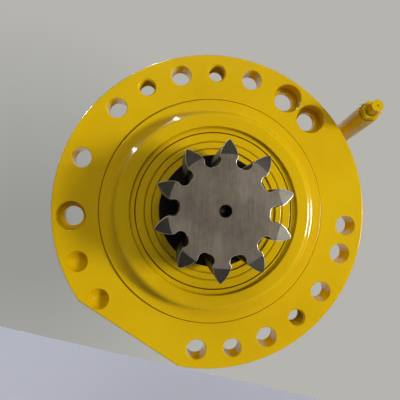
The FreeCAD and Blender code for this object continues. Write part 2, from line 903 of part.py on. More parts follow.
def pinion_shaft():
    front = -float(S.PinionReach)
    back = -float(S.ShoulderReach)
    tip = float(S.PinionTipRadius)
    teeth = Part.Face(pinion_outline(front)).extrude(ALONG * (back - front))
    spare = 5.0
    slope = float(S.PinionBevel) / (tip - float(S.PinionFlatRadius))
    trim = revolved(
        [
            (0, front),
            (S.PinionFlatRadius, front),
            (tip + spare, front + slope * (tip + spare - float(S.PinionFlatRadius))),
            (tip + spare, back - float(S.PinionRunout)),
            (tip - spare, back),
            (0, back),
        ]
    )
    teeth = teeth.common(trim)
    carrier_end = output_carrier_place + S.OutputPlateThickness
    shaft = revolved(
        [
            (0, back),
            (S.ShoulderRadius, back),
            (S.ShoulderRadius, -S.CollarReach),
            (S.CollarSeatRadius, -S.CollarReach),
            (S.CollarSeatRadius, S.FrontBearingPlace),
            (S.FrontBearingSeat, S.FrontBearingPlace),
            (S.FrontBearingSeat, front_bearing_end + S.BearingLip),
            (S.ShaftBodyRadius, front_bearing_end + S.BearingLip),
            (S.ShaftBodyRadius, rear_bearing_place),
            (S.RearBearingSeat, rear_bearing_place),
            (S.RearBearingSeat, rear_bearing_end),
            (S.NutSeatRadius, rear_bearing_end),
            (S.NutSeatRadius, rear_bearing_end + S.NutWidth),
            (S.SplineRadius, rear_bearing_end + S.NutWidth),
            (S.SplineRadius, carrier_end),
            (0, carrier_end),
        ]
    )
    solid = teeth.fuse(shaft)
    solid = solid.cut(rod(S.CentreHoleRadius, front, S.CentreHoleDepth))
    return made("pinion_shaft", solid.removeSplitter())


def seal_and_collar():
    step = S.CollarStep
    collar = turned(
        "seal_collar",
        [
            (S.CollarSeatRadius, -S.CollarReach + step),
            (S.CollarLandRadius, -S.CollarReach + step),
            (S.CollarLandRadius, -S.CollarReach),
            (S.CollarRadius, -S.CollarReach, S.CollarRound),
            (S.CollarRadius, S.FrontBearingPlace),
            (S.CollarSeatRadius, S.FrontBearingPlace),
        ],
    )
    front = -S.RecessHeight + S.SealInset
    bore = S.CollarRadius + S.RunningClearance
    groove = S.SealGroove
    seal = turned(
        "oil_seal",
        [
            (bore, front + groove),
            (bore + groove * 2, front),
            (S.SealRadius - groove, front),
            (S.SealRadius, front + groove),
            (S.SealRadius, seal_back),
            (S.SealRadius - groove * 2, seal_back),
            (S.SealRadius - groove * 2, front + groove * 3),
            (bore + groove * 2, front + groove * 3),
            (bore + groove * 2, seal_back - groove),
            (bore, seal_back - groove),
        ],
    )
    return [collar, seal]


def roller_bearing(name, seat, place, width, wall, roller, count):
    """Two races, and rollers that run between them with clearance."""
    track = seat + wall
    outer_track = track + roller * 2
    inner = sleeve(name + "_inner", seat, track, place, width)
    outer = sleeve(name + "_outer", outer_track, outer_track + wall, place, width)
    thin = float(roller) - float(S.RunningClearance)
    play = float(S.RollerEndPlay)
    one = rod(thin, float(place) + play, float(width) - 2 * play, 0, track + roller)
    rollers = made(name + "_rollers", ring_of(one, count))
    return [inner, outer, rollers]


def shaft_nut():
    return sleeve("shaft_nut", S.NutSeatRadius, S.NutRadius, rear_bearing_end, S.NutWidth)


# Planetary stages


def ring_gear(name, stage, start, length):
    """A ring whose outside is part of the casing, with holes for the long bolts."""
    gaps = stage.ring.wire(stage.gap_angle(), start)
    wires = [circle_wire(S.CaseRimRadius, start), gaps]
    hole = float(S.CaseBoltRadius + S.CaseBoltClearance)
    count = int(float(S.CaseBoltCount))
    for step in range(count):
        angle = float(S.CaseBoltAngle) + 360.0 / count * step
        wires.append(circle_wire(hole, start, case_bolt_circle, angle))
    return made(name, flat_face(wires).extrude(ALONG * float(length)))


def planet_gears(name, stage, start, width, pin, bush_wall):
    planets = []
    bore = float(pin + bush_wall + S.RunningClearance)
    for step, seat in enumerate(SEATS):
        centre = at(stage.spread, seat, 0)
        solid = toothed(stage.planet, stage.planet_angle(seat), start, width, bore, centre)
        planets.append(made(f"{name}_planet_{step + 1}", solid))
    return planets


def carrier(name, stage, place, plate, radius, bore, face, pin, post, post_circle, opening):
    """Two plates joined by posts between the planets, with a hole for each planet pin."""
    gap = face + S.PlanetSidePlay * 2
    body = turned(
        name,
        [(bore, place), (radius, place), (radius, place + plate), (bore, place + plate)],
    )
    spread = Size(stage.spread, repr(stage.spread))
    turn_step = 360.0 / len(SEATS)
    posts = sketch_on(body, "XZ_Plane", place + plate)
    for seat in SEATS:
        x, z = polar(post_circle, as_size(seat + turn_step / 2))
        circle(posts, x, z, post)
    padded(body, posts, gap, name + "_posts")
    rear = sketch_on(body, "XZ_Plane", place + plate + gap)
    circle(rear, ZERO, ZERO, radius)
    circle(rear, ZERO, ZERO, opening)
    padded(body, rear, plate, name + "_rear_plate")
    points = [polar(spread, as_size(seat)) for seat in SEATS]
    holes(body, name + "_pin_holes", place, plate * 2 + gap, pin, points)
    return body


def planet_pins(name, stage, place, plate, face, pin):
    whole = plate * 2 + face + S.PlanetSidePlay * 2
    one = rod(pin, place, whole, 0, stage.spread)
    return made(name, ring_of(one, len(SEATS), SEATS[0]))


def planet_bushes(name, stage, start, face, pin, wall):
    """Plain bushes that the planets run on."""
    outside = rod(pin + wall, start, face, 0, stage.spread)
    one = outside.cut(rod(pin, start, face, 0, stage.spread))
    return made(name, ring_of(one, len(SEATS), SEATS[0]))


def output_stage():
    place, plate = output_carrier_place, S.OutputPlateThickness
    face_start = place + plate + S.PlanetSidePlay
    face = S.OutputFaceWidth
    pin, wall = S.OutputPinRadius, S.OutputBushWall
    opening = as_size(OUTPUT.sun.tip + 3)
    frame = carrier(
        "output_carrier", OUTPUT, place, plate, output_carrier_radius, S.SplineRadius, face,
        pin, S.OutputPostRadius, S.CaseRimRadius - S.OutputPostInset, opening,
    )
    sun = toothed(OUTPUT.sun, OUTPUT.sun_angle, face_start, face, S.MotorBearingSeat)
    hub_start = face_start + face
    hub_end = input_carrier_place + S.InputPlateThickness
    hub = S.MotorBearingSeat + S.SunHubWall
    tail = rod(hub, hub_start, hub_end - hub_start).cut(
        rod(S.MotorBearingSeat, hub_start, hub_end - hub_start)
    )
    pieces = [
        frame,
        planet_pins("output_planet_pins", OUTPUT, place, plate, face, pin),
        planet_bushes("output_planet_bushes", OUTPUT, face_start, face, pin, wall),
        made("output_sun_gear", sun.fuse(tail).removeSplitter()),
        ring_gear("output_ring_gear", OUTPUT, case_end, S.OutputRingLength),
    ]
    return pieces + planet_gears("output", OUTPUT, face_start, face, pin, wall)


def input_stage():
    place, plate = input_carrier_place, S.InputPlateThickness
    face_start = place + plate + S.PlanetSidePlay
    face = S.InputFaceWidth
    pin, wall = S.InputPinRadius, S.InputBushWall
    hub = S.MotorBearingSeat + S.SunHubWall
    opening = as_size(INPUT.sun.tip + 3)
    frame = carrier(
        "input_carrier", INPUT, place, plate, input_carrier_radius, hub, face,
        pin, S.InputPostRadius, S.CaseRimRadius - S.InputPostInset, opening,
    )
    sun = toothed(INPUT.sun, INPUT.sun_angle, face_start, face, S.SunSeatRadius)
    pieces = [
        frame,
        planet_pins("input_planet_pins", INPUT, place, plate, face, pin),
        planet_bushes("input_planet_bushes", INPUT, face_start, face, pin, wall),
        made("input_sun_gear", sun),
        ring_gear("input_ring_gear", INPUT, output_ring_end, S.InputRingLength),
    ]
    return pieces + planet_gears("input", INPUT, face_start, face, pin, wall)


# Motor case and cover


def motor_case():
    seat = S.MotorBearingSeat + S.MotorBearingWall * 2 + S.MotorRollerRadius * 2
    seat_start = motor_wall_end - S.MotorBearingWidth - S.SideClearance
    lip = S.ShaftSealRadius - 2
    seal_end = input_ring_end + S.ShaftSealPlace + S.ShaftSealWidth
    body = turned(
        "motor_case",
        [
            (S.ShaftSealRadius, input_ring_end),
            (S.CaseRimRadius, input_ring_end),
            (S.CaseRimRadius, motor_flange_end),
            (S.MotorBodyRadius, motor_flange_end, S.MotorFillet),
            (S.MotorBodyRadius, motor_end),
            (S.MotorBoreRadius, motor_end),
            (S.MotorBoreRadius, brake_shoulder),
            (S.BrakeShoulderRadius, brake_shoulder),
            (S.BrakeShoulderRadius, motor_wall_end),
            (seat, motor_wall_end),
            (seat, seat_start),
            (lip, seat_start),
            (lip, seal_end),
            (S.ShaftSealRadius, seal_end),
        ],
    )
    corners = cover_bolt_points()
    lugs = sketch_on(body, "XZ_Plane", motor_end - S.LugLength)
    for x, z in corners:
        circle(lugs, x, z, S.LugRadius)
    padded(body, lugs, S.LugLength, "case_lugs")
    holes(body, "lug_holes", motor_end, S.CoverBoltGrip, S.CoverBoltRadius, corners, True)
    around = even_circle(case_bolt_circle, S.CaseBoltCount, S.CaseBoltAngle)
    hole = S.CaseBoltRadius + S.CaseBoltClearance
    holes(body, "flange_bolt_holes", input_ring_end, S.MotorFlangeThickness, hole, around)
    top = [polar(breather_circle, S.BreatherAngle)]
    holes(body, "breather_hole", motor_flange_end, S.BreatherRadius * 2, S.BreatherRadius, top, True)
    return body


def cover_bolt_points():
    return [
        (S.LugOffset * across, S.LugOffset * up) for across, up in ((1, 1), (-1, 1), (-1, -1), (1, -1))
    ]


def port_bolt_points(side):
    centre = S.PortOffset * side
    return [
        (centre + S.PortBoltAcross / 2 * across, S.PortRise + S.PortBoltAlong / 2 * up)
        for across, up in ((1, 1), (-1, 1), (-1, -1), (1, -1))
    ]


def valve_cover():
    body = new_body("valve_cover_block")
    sketch = sketch_on(body, "XZ_Plane", motor_end)
    half, corner = S.CoverHalfWidth, S.CoverCorner
    corners = ((half, -half), (half, half), (-half, half), (-half, -half))
    outline(sketch, [(x, z, corner) for x, z in corners])
    block = padded(body, sketch, S.CoverThickness, "cover_block")
    doc.recompute()
    rear_edges = [
        f"Edge{i + 1}"
        for i, edge in enumerate(block.Shape.Edges)
        if all(abs(vertex.Y - float(cover_end)) < 0.01 for vertex in edge.Vertexes)
    ]
    chamfer = body.newObject("PartDesign::Chamfer", "cover_edge")
    chamfer.Base = (block, rear_edges)
    chamfer.setExpression("Size", S.CoverChamfer.text)
    doc.recompute()
    tail = S.TailRadius + S.TailBearingWall * 2 + S.MotorRollerRadius
    centre = [(ZERO, ZERO)]
    depth = S.TailBearingWidth + S.SideClearance * 4
    holes(body, "tail_bearing_seat", motor_end, depth, tail, centre)
    corners = cover_bolt_points()
    loose = S.CoverBoltRadius + S.CaseBoltClearance
    holes(body, "cover_bolt_holes", motor_end, S.CoverThickness, loose, corners)
    ports = [(S.PortOffset, S.PortRise), (-S.PortOffset, S.PortRise)]
    holes(body, "ports", cover_end, S.PortDepth, S.PortRadius, ports, True)
    threads = port_bolt_points(1) + port_bolt_points(-1)
    holes(body, "port_threads", cover_end, S.PortBoltDepth, S.PortBoltRadius, threads, True)
    cover = doc.addObject("Part::Cut", "valve_cover")
    cover.Label = "valve_cover"
    cover.Base = body
    cover.Tool = cover_side_bores()
    return cover


def side_bore(name, radius, depth, angle, height):
    """A bore into one of the cover's sides, from outside the side inwards."""
    cylinder = doc.addObject("Part::Cylinder", name)
    cylinder.setExpression("Radius", radius.text)
    cylinder.setExpression("Height", depth.text)
    middle = motor_end + S.CoverThickness / 2
    start = S.CoverHalfWidth - depth
    place = {0: (start, height), 180: (-start, height), 90: (height, start)}[angle]
    cylinder.Placement = Placement(
        Vector(place[0].value, middle.value, place[1].value),
        Rotation(Vector(0, 1, 0), 90 - angle),
    )
    cylinder.setExpression("Placement.Base.x", place[0].text)
    cylinder.setExpression("Placement.Base.y", middle.text)
    cylinder.setExpression("Placement.Base.z", place[1].text)
    return cylinder


def cover_side_bores():
    bores = doc.addObject("Part::MultiFuse", "cover_side_bores")
    bores.Shapes = [
        side_bore("relief_bore_right", S.ReliefRadius, S.ReliefDepth, 0, -S.ReliefDrop),
        side_bore("relief_bore_left", S.ReliefRadius, S.ReliefDepth, 180, -S.ReliefDrop),
        side_bore("plug_bore_right", S.PlugRadius, S.PlugDepth, 90, S.PortOffset),
        side_bore("plug_bore_left", S.PlugRadius, S.PlugDepth, 90, -S.PortOffset),
    ]
    return bores


def relief_valves():
    """Two cartridges screwed into the cover's sides, each with a hexagon and an adjuster."""
    middle = float(motor_end + S.CoverThickness / 2)
    half, low = float(S.CoverHalfWidth), -float(S.ReliefDrop)
    depth, length = float(S.ReliefDepth), float(S.ReliefLength)
    valves = []
    for side in (1, -1):
        out = Vector(side, 0, 0)
        origin = Vector(0, middle, low)
        body = Part.makeCylinder(float(S.ReliefRadius), depth, origin + out * (half - depth), out)
        nut = hexagon(S.ReliefHexRadius * 2, half, length / 2, origin, out)
        nose = Part.makeCylinder(
            float(S.ReliefRadius) * 0.75, length / 2, origin + out * (half + length / 2), out
        )
        valves.append(body.fuse(nut).fuse(nose).removeSplitter())
    return made("relief_valves", Part.makeCompound(valves))


def port_plugs():
    """Hex plugs in the cover's two upper bores."""
    middle = float(motor_end + S.CoverThickness / 2)
    half, depth = float(S.CoverHalfWidth), float(S.PlugDepth)
    up = Vector(0, 0, 1)
    plugs = []
    for side in (1, -1):
        origin = Vector(side * float(S.PortOffset), middle, 0)
        thread = Part.makeCylinder(float(S.PlugRadius), depth, origin + up * (half - depth), up)
        head = hexagon(S.PlugHexRadius * 2, half, S.PlugHeight, origin, up)
        plugs.append(thread.fuse(head).removeSplitter())
    return made("port_plugs", Part.makeCompound(plugs))


# Motor inside


def motor_shaft():
    start = input_carrier_place + S.InputPlateThickness + S.PlanetSidePlay
    sun_end = start + S.InputFaceWidth
    bearing_start = motor_wall_end - S.MotorBearingWidth
    tail_start = motor_end + S.SideClearance
    return turned(
        "motor_shaft",
        [
            (ZERO, start),
            (S.SunSeatRadius, start),
            (S.SunSeatRadius, sun_end),
            (S.MotorShaftRadius, sun_end),
            (S.MotorShaftRadius, bearing_start),
            (S.MotorBearingSeat, bearing_start),
            (S.MotorBearingSeat, motor_wall_end),
            (S.MotorShaftRadius, motor_wall_end),
            (S.MotorShaftRadius, block_end),
            (S.TailRadius, block_end),
            (S.TailRadius, tail_start + S.TailBearingWidth),
            (ZERO, tail_start + S.TailBearingWidth),
        ],
    )


def swash_normal():
    turn = math.radians(float(S.SwashAngle))
    return Vector(0, math.cos(turn), -math.sin(turn))


def swash_plate():
    """A round plate, flat against the wall and cut off at the swash angle."""
    start, length = float(motor_wall_end), float(S.SwashPlace) * 2.2
    ring = rod(S.SwashRadius, start, length).cut(rod(S.SwashBoreRadius, start, length))
    normal = swash_normal()
    big = float(S.SwashRadius) * 4
    slab = Part.makeCylinder(big, big, Vector(0, float(swash_centre), 0), normal)
    return made("swash_plate", ring.cut(slab))


def tilted(radius, start, length, angle=0, circle_radius=0):
    """A cylinder square to the swash plate's face, at a radius and angle in that face."""
    cylinder = rod(radius, start, length, angle, circle_radius)
    cylinder.rotate(Vector(0, 0, 0), Vector(1, 0, 0), -float(S.SwashAngle))
    cylinder.translate(Vector(0, float(swash_centre), 0))
    return cylinder


def slippers():
    count = int(float(S.PistonCount))
    gap = float(S.RunningClearance)
    place, plate = float(S.RetainerPlace), float(S.RetainerThickness)
    shoes = []
    disc = tilted(S.RetainerRadius, place + gap, plate)
    disc = disc.cut(tilted(S.RetainerBoreRadius, place, plate * 2))
    neck = float(S.ShoeRadius) * 0.72
    for step in range(count):
        angle = 90 + 360.0 / count * step
        foot = tilted(S.ShoeRadius, gap, place, angle, S.PistonCircle)
        stem = tilted(neck, gap, S.ShoeThickness, angle, S.PistonCircle)
        shoes.append(foot.fuse(stem).removeSplitter())
        disc = disc.cut(tilted(neck + gap, 0, plate * 3, angle, S.PistonCircle))
    return [
        made("slipper_shoes", Part.makeCompound(shoes)),
        made("retainer_plate", disc),
    ]


def cylinder_block():
    body = sleeve("cylinder_block", S.MotorShaftRadius, S.BlockRadius, block_start, S.BlockLength)
    bores = even_circle(S.PistonCircle, S.PistonCount, as_size(90))
    depth = S.PistonLength - S.PistonOut + 2
    holes(body, "cylinder_bores", block_start, depth, S.PistonRadius + S.RunningClearance, bores)
    return body


def pistons():
    one = rod(S.PistonRadius, block_start - S.PistonOut, S.PistonLength, 0, S.PistonCircle)
    return made("pistons", ring_of(one, float(S.PistonCount), 90))


def valve_plate():
    start = block_end + S.RunningClearance
    length = motor_end - start
    bore = S.MotorShaftRadius + S.SideClearance
    return sleeve("valve_plate", bore, S.ValvePlateRadius, start, length)


def brake():
    """A stack of plates held by the case and discs carried by the block, a piston and its spring."""
    pitch = float(S.BrakePlateThickness + S.BrakeDiscThickness + S.BrakeGap * 2)
    start = float(brake_shoulder)
    count = int(float(S.BrakeDiscCount))
    plates, discs = [], []
    for step in range(count + 1):
        place = start + pitch * step
        plate = rod(S.MotorBoreRadius, place, S.BrakePlateThickness)
        plates.append(plate.cut(rod(S.BrakePlateBore, place, S.BrakePlateThickness)))
    for step in range(count):
        place = start + pitch * step + float(S.BrakePlateThickness + S.BrakeGap)
        disc = rod(S.BrakeDiscRadius, place, S.BrakeDiscThickness)
        discs.append(disc.cut(rod(S.BlockRadius, place, S.BrakeDiscThickness)))
    stack = (S.BrakePlateThickness + S.BrakeDiscThickness + S.BrakeGap * 2) * S.BrakeDiscCount
    piston_start = brake_shoulder + stack + S.BrakePlateThickness + S.BrakeGap
    slim = S.MotorBoreRadius - S.RunningClearance
    piston = sleeve("brake_piston", S.BrakePistonBore, slim, piston_start, S.BrakePistonLength)
    spring_start = piston_start + S.BrakePistonLength + S.BrakeGap
    thick = S.BrakeSpringThickness
    outer, inner = S.MotorBoreRadius - 1, S.BrakeSpringBore
    spring = turned(
        "brake_spring",
        [
            (outer, spring_start),
            (outer, spring_start + thick),
            (inner, motor_end),
            (inner, motor_end - thick),
        ],
    )
    return [
        made("brake_plates", Part.makeCompound(plates)),
        made("brake_discs", Part.makeCompound(discs)),
        piston,
        spring,
    ]


def motor_bearings():
    place = motor_wall_end - S.MotorBearingWidth
    front = roller_bearing(
        "motor_bearing", S.MotorBearingSeat, place, S.MotorBearingWidth,
        S.MotorBearingWall, S.MotorRollerRadius, float(S.MotorRollers),
    )
    start = motor_end + S.SideClearance
    track = S.TailRadius + S.TailBearingWall
    inner = sleeve("tail_bearing_inner", S.TailRadius, track, start, S.TailBearingWidth)
    outer_bore = track + S.MotorRollerRadius
    outer = sleeve(
        "tail_bearing_outer", outer_bore, outer_bore + S.TailBearingWall, start, S.TailBearingWidth
    )
    half = float(S.MotorRollerRadius) / 2
    needle = rod(
        half - float(S.RunningClearance), float(start) + 2, float(S.TailBearingWidth) - 4, 0,
        float(track) + half,
    )
    needles = made("tail_bearing_rollers", ring_of(needle, float(S.MotorRollers)))
    seal_start = input_ring_end + S.ShaftSealPlace
    gap = S.MotorShaftRadius + S.RunningClearance
    seal = sleeve("shaft_seal", gap, S.ShaftSealRadius, seal_start, S.ShaftSealWidth)
    return front + [inner, outer, needles, seal]


# Fasteners


def fasteners():
    under_head = float(motor_flange_end)
    length = under_head - float(case_end) + float(S.CaseBoltGrip) - 2
    case_screw = socket_screw(S.CaseBoltRadius, under_head, length, case_bolt_circle)
    case_bolts = made(
        "case_bolts", ring_of(case_screw, float(S.CaseBoltCount), S.CaseBoltAngle)
    )
    reach = float(S.LugOffset) * math.sqrt(2)
    cover_length = float(S.CoverThickness + S.CoverBoltGrip) - 2
    cover_screw = socket_screw(S.CoverBoltRadius, cover_end, cover_length, reach)
    cover_bolts = made("cover_bolts", ring_of(cover_screw, 4, 45))
    return [case_bolts, cover_bolts]


# Pipes and small fittings


def pipe_path(points, bend):
    """Two straight runs joined by an arc that is tangent to both."""
    first, corner, last = points
    back = (first - corner).normalize()
    ahead = (last - corner).normalize()
    half_turn = back.getAngle(ahead) / 2
    reach = bend / math.tan(half_turn)
    middle = (back + ahead).normalize()
    centre = corner + middle * (bend / math.sin(half_turn))
    start, end = corner + back * reach, corner + ahead * reach
    crown = centre - middle * bend
    edges = [
        Part.LineSegment(first, start).toShape(),
        Part.Arc(start, crown, end).toShape(),
        Part.LineSegment(end, last).toShape(),
    ]
    return Part.Wire(edges)


def pipe(points, bend, outside, bore):
    path = pipe_path(points, float(bend))
    direction = points[1] - points[0]
    solids = []
    for radius in (outside, bore):
        ring = Part.Wire(Part.Circle(points[0], direction, float(radius)).toShape())
        solids.append(path.makePipeShell([ring], True, False))
    return solids[0].cut(solids[1])


def drain_points():
    socket = S.NeckRadius + S.BossRise - S.PipeSocket
    mouth_reach = S.FlangeRadius + S.DrainMouthStandoff
    return (
        at(socket, S.DrainAngle, S.DrainPlace),
        at(S.FlangeRadius + S.DrainStandoff, S.DrainAngle, S.DrainPlace),
        at(mouth_reach, S.DrainMouthAngle, -S.DrainMouthReach),
    )


def drain():
    points = drain_points()
    tube = pipe(points, S.DrainBend, S.DrainPipeRadius, S.DrainBoreRadius)
    out = (points[2] - points[1]).normalize()
    mouth = points[2]
    collar = hexagon(S.PlugCollarAcross, 0, S.PlugCollarHeight, mouth, out)
    head = hexagon(S.PlugHeadAcross, S.PlugCollarHeight, S.PlugHeadHeight, mouth, out)
    depth = float(S.PlugThread)
    thread = Part.makeCylinder(float(S.DrainBoreRadius), depth, mouth - out * depth, out)
    plug = collar.fuse(head).fuse(thread).removeSplitter()
    return [made("drain_pipe", tube), made("drain_plug", plug)]


def gauge():
    """The gauge pipe beside the case, its clamp, and the dipstick that pulls out of it."""
    socket = S.NeckRadius + S.BossRise - S.PipeSocket
    points = (
        at(socket, S.GaugeAngle, S.GaugePlace),
        at(gauge_reach, S.GaugeAngle, S.GaugePlace),
        at(gauge_reach, S.GaugeAngle, gauge_end),
    )
    tube = pipe(points, S.GaugeBend, S.GaugePipeRadius, S.GaugeBoreRadius)
    end = float(gauge_end)
    foot = end - float(S.DipstickDepth)
    stick = rod(S.DipstickRadius, foot, S.DipstickDepth, S.GaugeAngle, gauge_reach)
    plug = rod(
        float(S.GaugeBoreRadius) - float(S.RunningClearance), end - 12, 12, S.GaugeAngle, gauge_reach
    )
    cap = rod(S.DipstickCapRadius, end, S.DipstickCapHeight, S.GaugeAngle, gauge_reach)
    return [
        made("gauge_pipe", tube),
        made("dipstick", stick.fuse(plug).fuse(cap).removeSplitter()),
        made("gauge_clamp", gauge_clamp()),
    ]


def gauge_clamp():
    """A strap from the motor flange's rim to an eye round the gauge pipe."""
    thick, wide = float(S.ClampThickness), float(S.ClampWidth)
    place = float(input_ring_end + S.MotorFlangeThickness / 2) - wide / 2
    eye_radius = float(S.GaugePipeRadius) + thick
    eye = rod(eye_radius, place, wide, 0, gauge_reach)
    length = float(gauge_reach) - float(S.CaseRimRadius)
    strap = Part.makeBox(length, wide, thick, Vector(float(S.CaseRimRadius) - 1, place, -thick / 2))
    solid = eye.fuse(strap)
    solid = solid.cut(rod(S.GaugePipeRadius, place, wide, 0, gauge_reach))
    solid = solid.cut(rod(S.CaseRimRadius, place, wide))
    solid.rotate(Vector(0, 0, 0), ALONG, -float(S.GaugeAngle))
    return solid.removeSplitter()


def breather():
    angle, reach = S.BreatherAngle, breather_circle
    foot = motor_flange_end - S.BreatherRadius
    stem = rod(S.BreatherRadius, foot, S.BreatherHeight, angle, reach)
    cap_start = foot + S.BreatherHeight
    cap = rod(S.BreatherCapRadius, cap_start, S.BreatherHeight / 2, angle, reach)
    return made("breather", stem.fuse(cap).removeSplitter())


# Assembly


def assemble():
    pieces = [case_with_bosses(), pinion_shaft()]
    pieces += seal_and_collar()
    pieces += roller_bearing(
        "front_bearing", S.FrontBearingSeat, S.FrontBearingPlace, S.FrontBearingWidth,
        S.BearingWall, S.RollerRadius, float(S.FrontRollers),
    )
    pieces += roller_bearing(
        "rear_bearing", S.RearBearingSeat, rear_bearing_place, S.RearBearingWidth,
        S.BearingWall, S.RollerRadius, float(S.RearRollers),
    )
    pieces.append(shaft_nut())
    pieces += output_stage() + input_stage()
    pieces += [motor_case(), valve_cover(), relief_valves(), port_plugs()]
    pieces += [motor_shaft(), swash_plate()] + slippers()
    pieces += [cylinder_block(), pistons(), valve_plate()]
    pieces += brake() + motor_bearings() + fasteners()
    pieces += drain() + gauge() + [breather()]
    return pieces


def export(pieces):
    doc.recompute()
    failed = [
        f"{thing.Label}: {thing.State}"
        for thing in doc.Objects
        if "Invalid" in thing.State or "Error" in thing.State
    ]
    for piece in pieces:
        if piece.Shape.isNull() or not piece.Shape.isValid() or not piece.Shape.Solids:
            failed.append(f"{piece.Label}: the shape is missing or not valid")
    if failed:
        raise SystemExit("\n".join(failed))
    os.makedirs("parts", exist_ok=True)
    for piece in pieces:
        piece.Shape.exportStep(f"parts/{piece.Label}.step")
        print(f"{piece.Label}: {len(piece.Shape.Solids)} solid(s), {piece.Shape.Volume / 1000:.1f} cm3")


export(assemble())
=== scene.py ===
# %% [markdown]
# # A swing drive, dressed for its portrait
# The drive turns the upper half of an excavator. Its pinion and its drilled flange face the
# camera, and the gear stages and the motor run away behind them along +Y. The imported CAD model
# comes in as a fixed frame. Each step below makes one visible piece again, with rounder shapes and
# finer edges, where the CAD piece is. The inner pieces keep their CAD shape and get a finish.

# %% Load the frame
import json
import math

import bmesh
import bpy
from mathutils import Matrix, Vector


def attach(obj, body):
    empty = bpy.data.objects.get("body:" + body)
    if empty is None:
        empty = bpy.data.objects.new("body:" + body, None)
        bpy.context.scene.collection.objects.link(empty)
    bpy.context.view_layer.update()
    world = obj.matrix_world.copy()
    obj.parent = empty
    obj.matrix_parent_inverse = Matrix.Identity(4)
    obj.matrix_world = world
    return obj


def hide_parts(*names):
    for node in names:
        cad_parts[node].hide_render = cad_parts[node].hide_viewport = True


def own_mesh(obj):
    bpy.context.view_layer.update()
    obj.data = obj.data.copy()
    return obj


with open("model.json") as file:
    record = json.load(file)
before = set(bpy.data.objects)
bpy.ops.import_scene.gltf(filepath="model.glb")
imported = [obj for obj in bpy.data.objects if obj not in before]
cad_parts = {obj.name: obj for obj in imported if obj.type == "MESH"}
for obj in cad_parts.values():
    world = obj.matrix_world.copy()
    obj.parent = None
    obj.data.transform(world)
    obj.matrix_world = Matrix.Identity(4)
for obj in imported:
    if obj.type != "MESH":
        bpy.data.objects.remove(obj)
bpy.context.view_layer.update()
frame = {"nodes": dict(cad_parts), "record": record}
nodes = frame["nodes"]

# %% [markdown]
# ## The camera
# The photograph was taken from about half a metre in front of the flange, a little to the left of
# the axis, so the left flank of the pinion shows. A 36 mm lens on a 36 mm sensor gives that view.
# A constraint could aim the camera, but its tilt would then be one more value to keep, so three
# directions at right angles go straight into its matrix.

# %% Camera
VIEWPOINT = Vector((-0.059574, -0.5316, 0.000918))
VIEW_AHEAD = Vector((0.080594, 0.9965, 0.023469)).normalized()
VIEW_UP = Vector((-0.038336, -0.0204, 0.999068))

camera_data = bpy.data.cameras.new("camera")
camera_data.lens = 36
camera_data.sensor_width = 36
camera = bpy.data.objects.new("camera", camera_data)
VIEW_RIGHT = VIEW_AHEAD.cross(VIEW_UP).normalized()
VIEW_TOP = VIEW_RIGHT.cross(VIEW_AHEAD)
camera_turn = Matrix((VIEW_RIGHT, VIEW_TOP, -VIEW_AHEAD)).transposed()
camera.matrix_world = Matrix.Translation(VIEWPOINT) @ camera_turn.to_4x4()
bpy.context.collection.objects.link(camera)
bpy.context.scene.camera = camera
bpy.context.scene.view_settings.view_transform = "Standard"
print("camera looks along", tuple(round(value, 3) for value in VIEW_AHEAD))

# %% [markdown]
# ## Node helpers
# Every finish is a small node tree. It could be laid out by hand in the Shader Editor, but written
# down each value stays in sight. The helpers below add one node at a time and join it up, so a
# finish reads from top to bottom like a recipe.

# %% Colours and materials


def srgb(red, green, blue):
    """A colour as a picture editor gives it, 0 to 255, turned into Blender's linear colour."""
    linear = []
    for level in (red / 255, green / 255, blue / 255):
        linear.append(level / 12.92 if level <= 0.04045 else ((level + 0.055) / 1.055) ** 2.4)
    return (*linear, 1.0)


def grey(level):
    return (level, level, level, 1.0)


def new_material(name):
    material = bpy.data.materials.new(name)
    material.use_nodes = True
    shader = material.node_tree.nodes["Principled BSDF"]
    return material, material.node_tree, shader


def add_node(tree, kind, **settings):
    """Adds a node. Each setting goes to the input of that name, or else to the property."""
    node = tree.nodes.new(kind)
    for key, value in settings.items():
        if key in node.inputs:
            node.inputs[key].default_value = value
        else:
            setattr(node, key, value)
    return node


print("middle grey as a linear colour:", srgb(128, 128, 128))

# %% Pattern nodes


def place_on_piece(tree, scale=(1, 1, 1)):
    """Object coordinates, stretched where asked, so that a pattern sits still on its piece."""
    coordinates = add_node(tree, "ShaderNodeTexCoord")
    mapping = add_node(tree, "ShaderNodeMapping", Scale=scale)
    tree.links.new(coordinates.outputs["Object"], mapping.inputs["Vector"])
    return mapping.outputs["Vector"]


def noise(tree, vector, scale, detail, roughness=0.5):
    node = add_node(tree, "ShaderNodeTexNoise", Scale=scale, Detail=detail, Roughness=roughness)
    tree.links.new(vector, node.inputs["Vector"])
    return node.outputs["Fac"]


def ramp(tree, factor, *stops):
    """A colour ramp from (position, colour) stops."""
    node = add_node(tree, "ShaderNodeValToRGB")
    band = node.color_ramp
    while len(band.elements) < len(stops):
        band.elements.new(0.5)
    for element, (position, colour) in zip(band.elements, stops):
        element.position = position
        element.color = colour
    tree.links.new(factor, node.inputs["Fac"])
    return node.outputs["Color"]


def mix_colours(tree, factor, first, second, blend="MIX"):
    node = add_node(tree, "ShaderNodeMix", data_type="RGBA", blend_type=blend)
    for number, value in ((0, factor), (6, first), (7, second)):
        socket = node.inputs[number]
        if hasattr(value, "is_output"):
            tree.links.new(value, socket)
        else:
            socket.default_value = value
    return node.outputs[2]


def bump(tree, height, strength, distance, normal=None):
    node = add_node(tree, "ShaderNodeBump", Strength=strength, Distance=distance)
    tree.links.new(height, node.inputs["Height"])
    if normal is not None:
        tree.links.new(normal, node.inputs["Normal"])
    return node.outputs["Normal"]


print("pattern nodes ready")

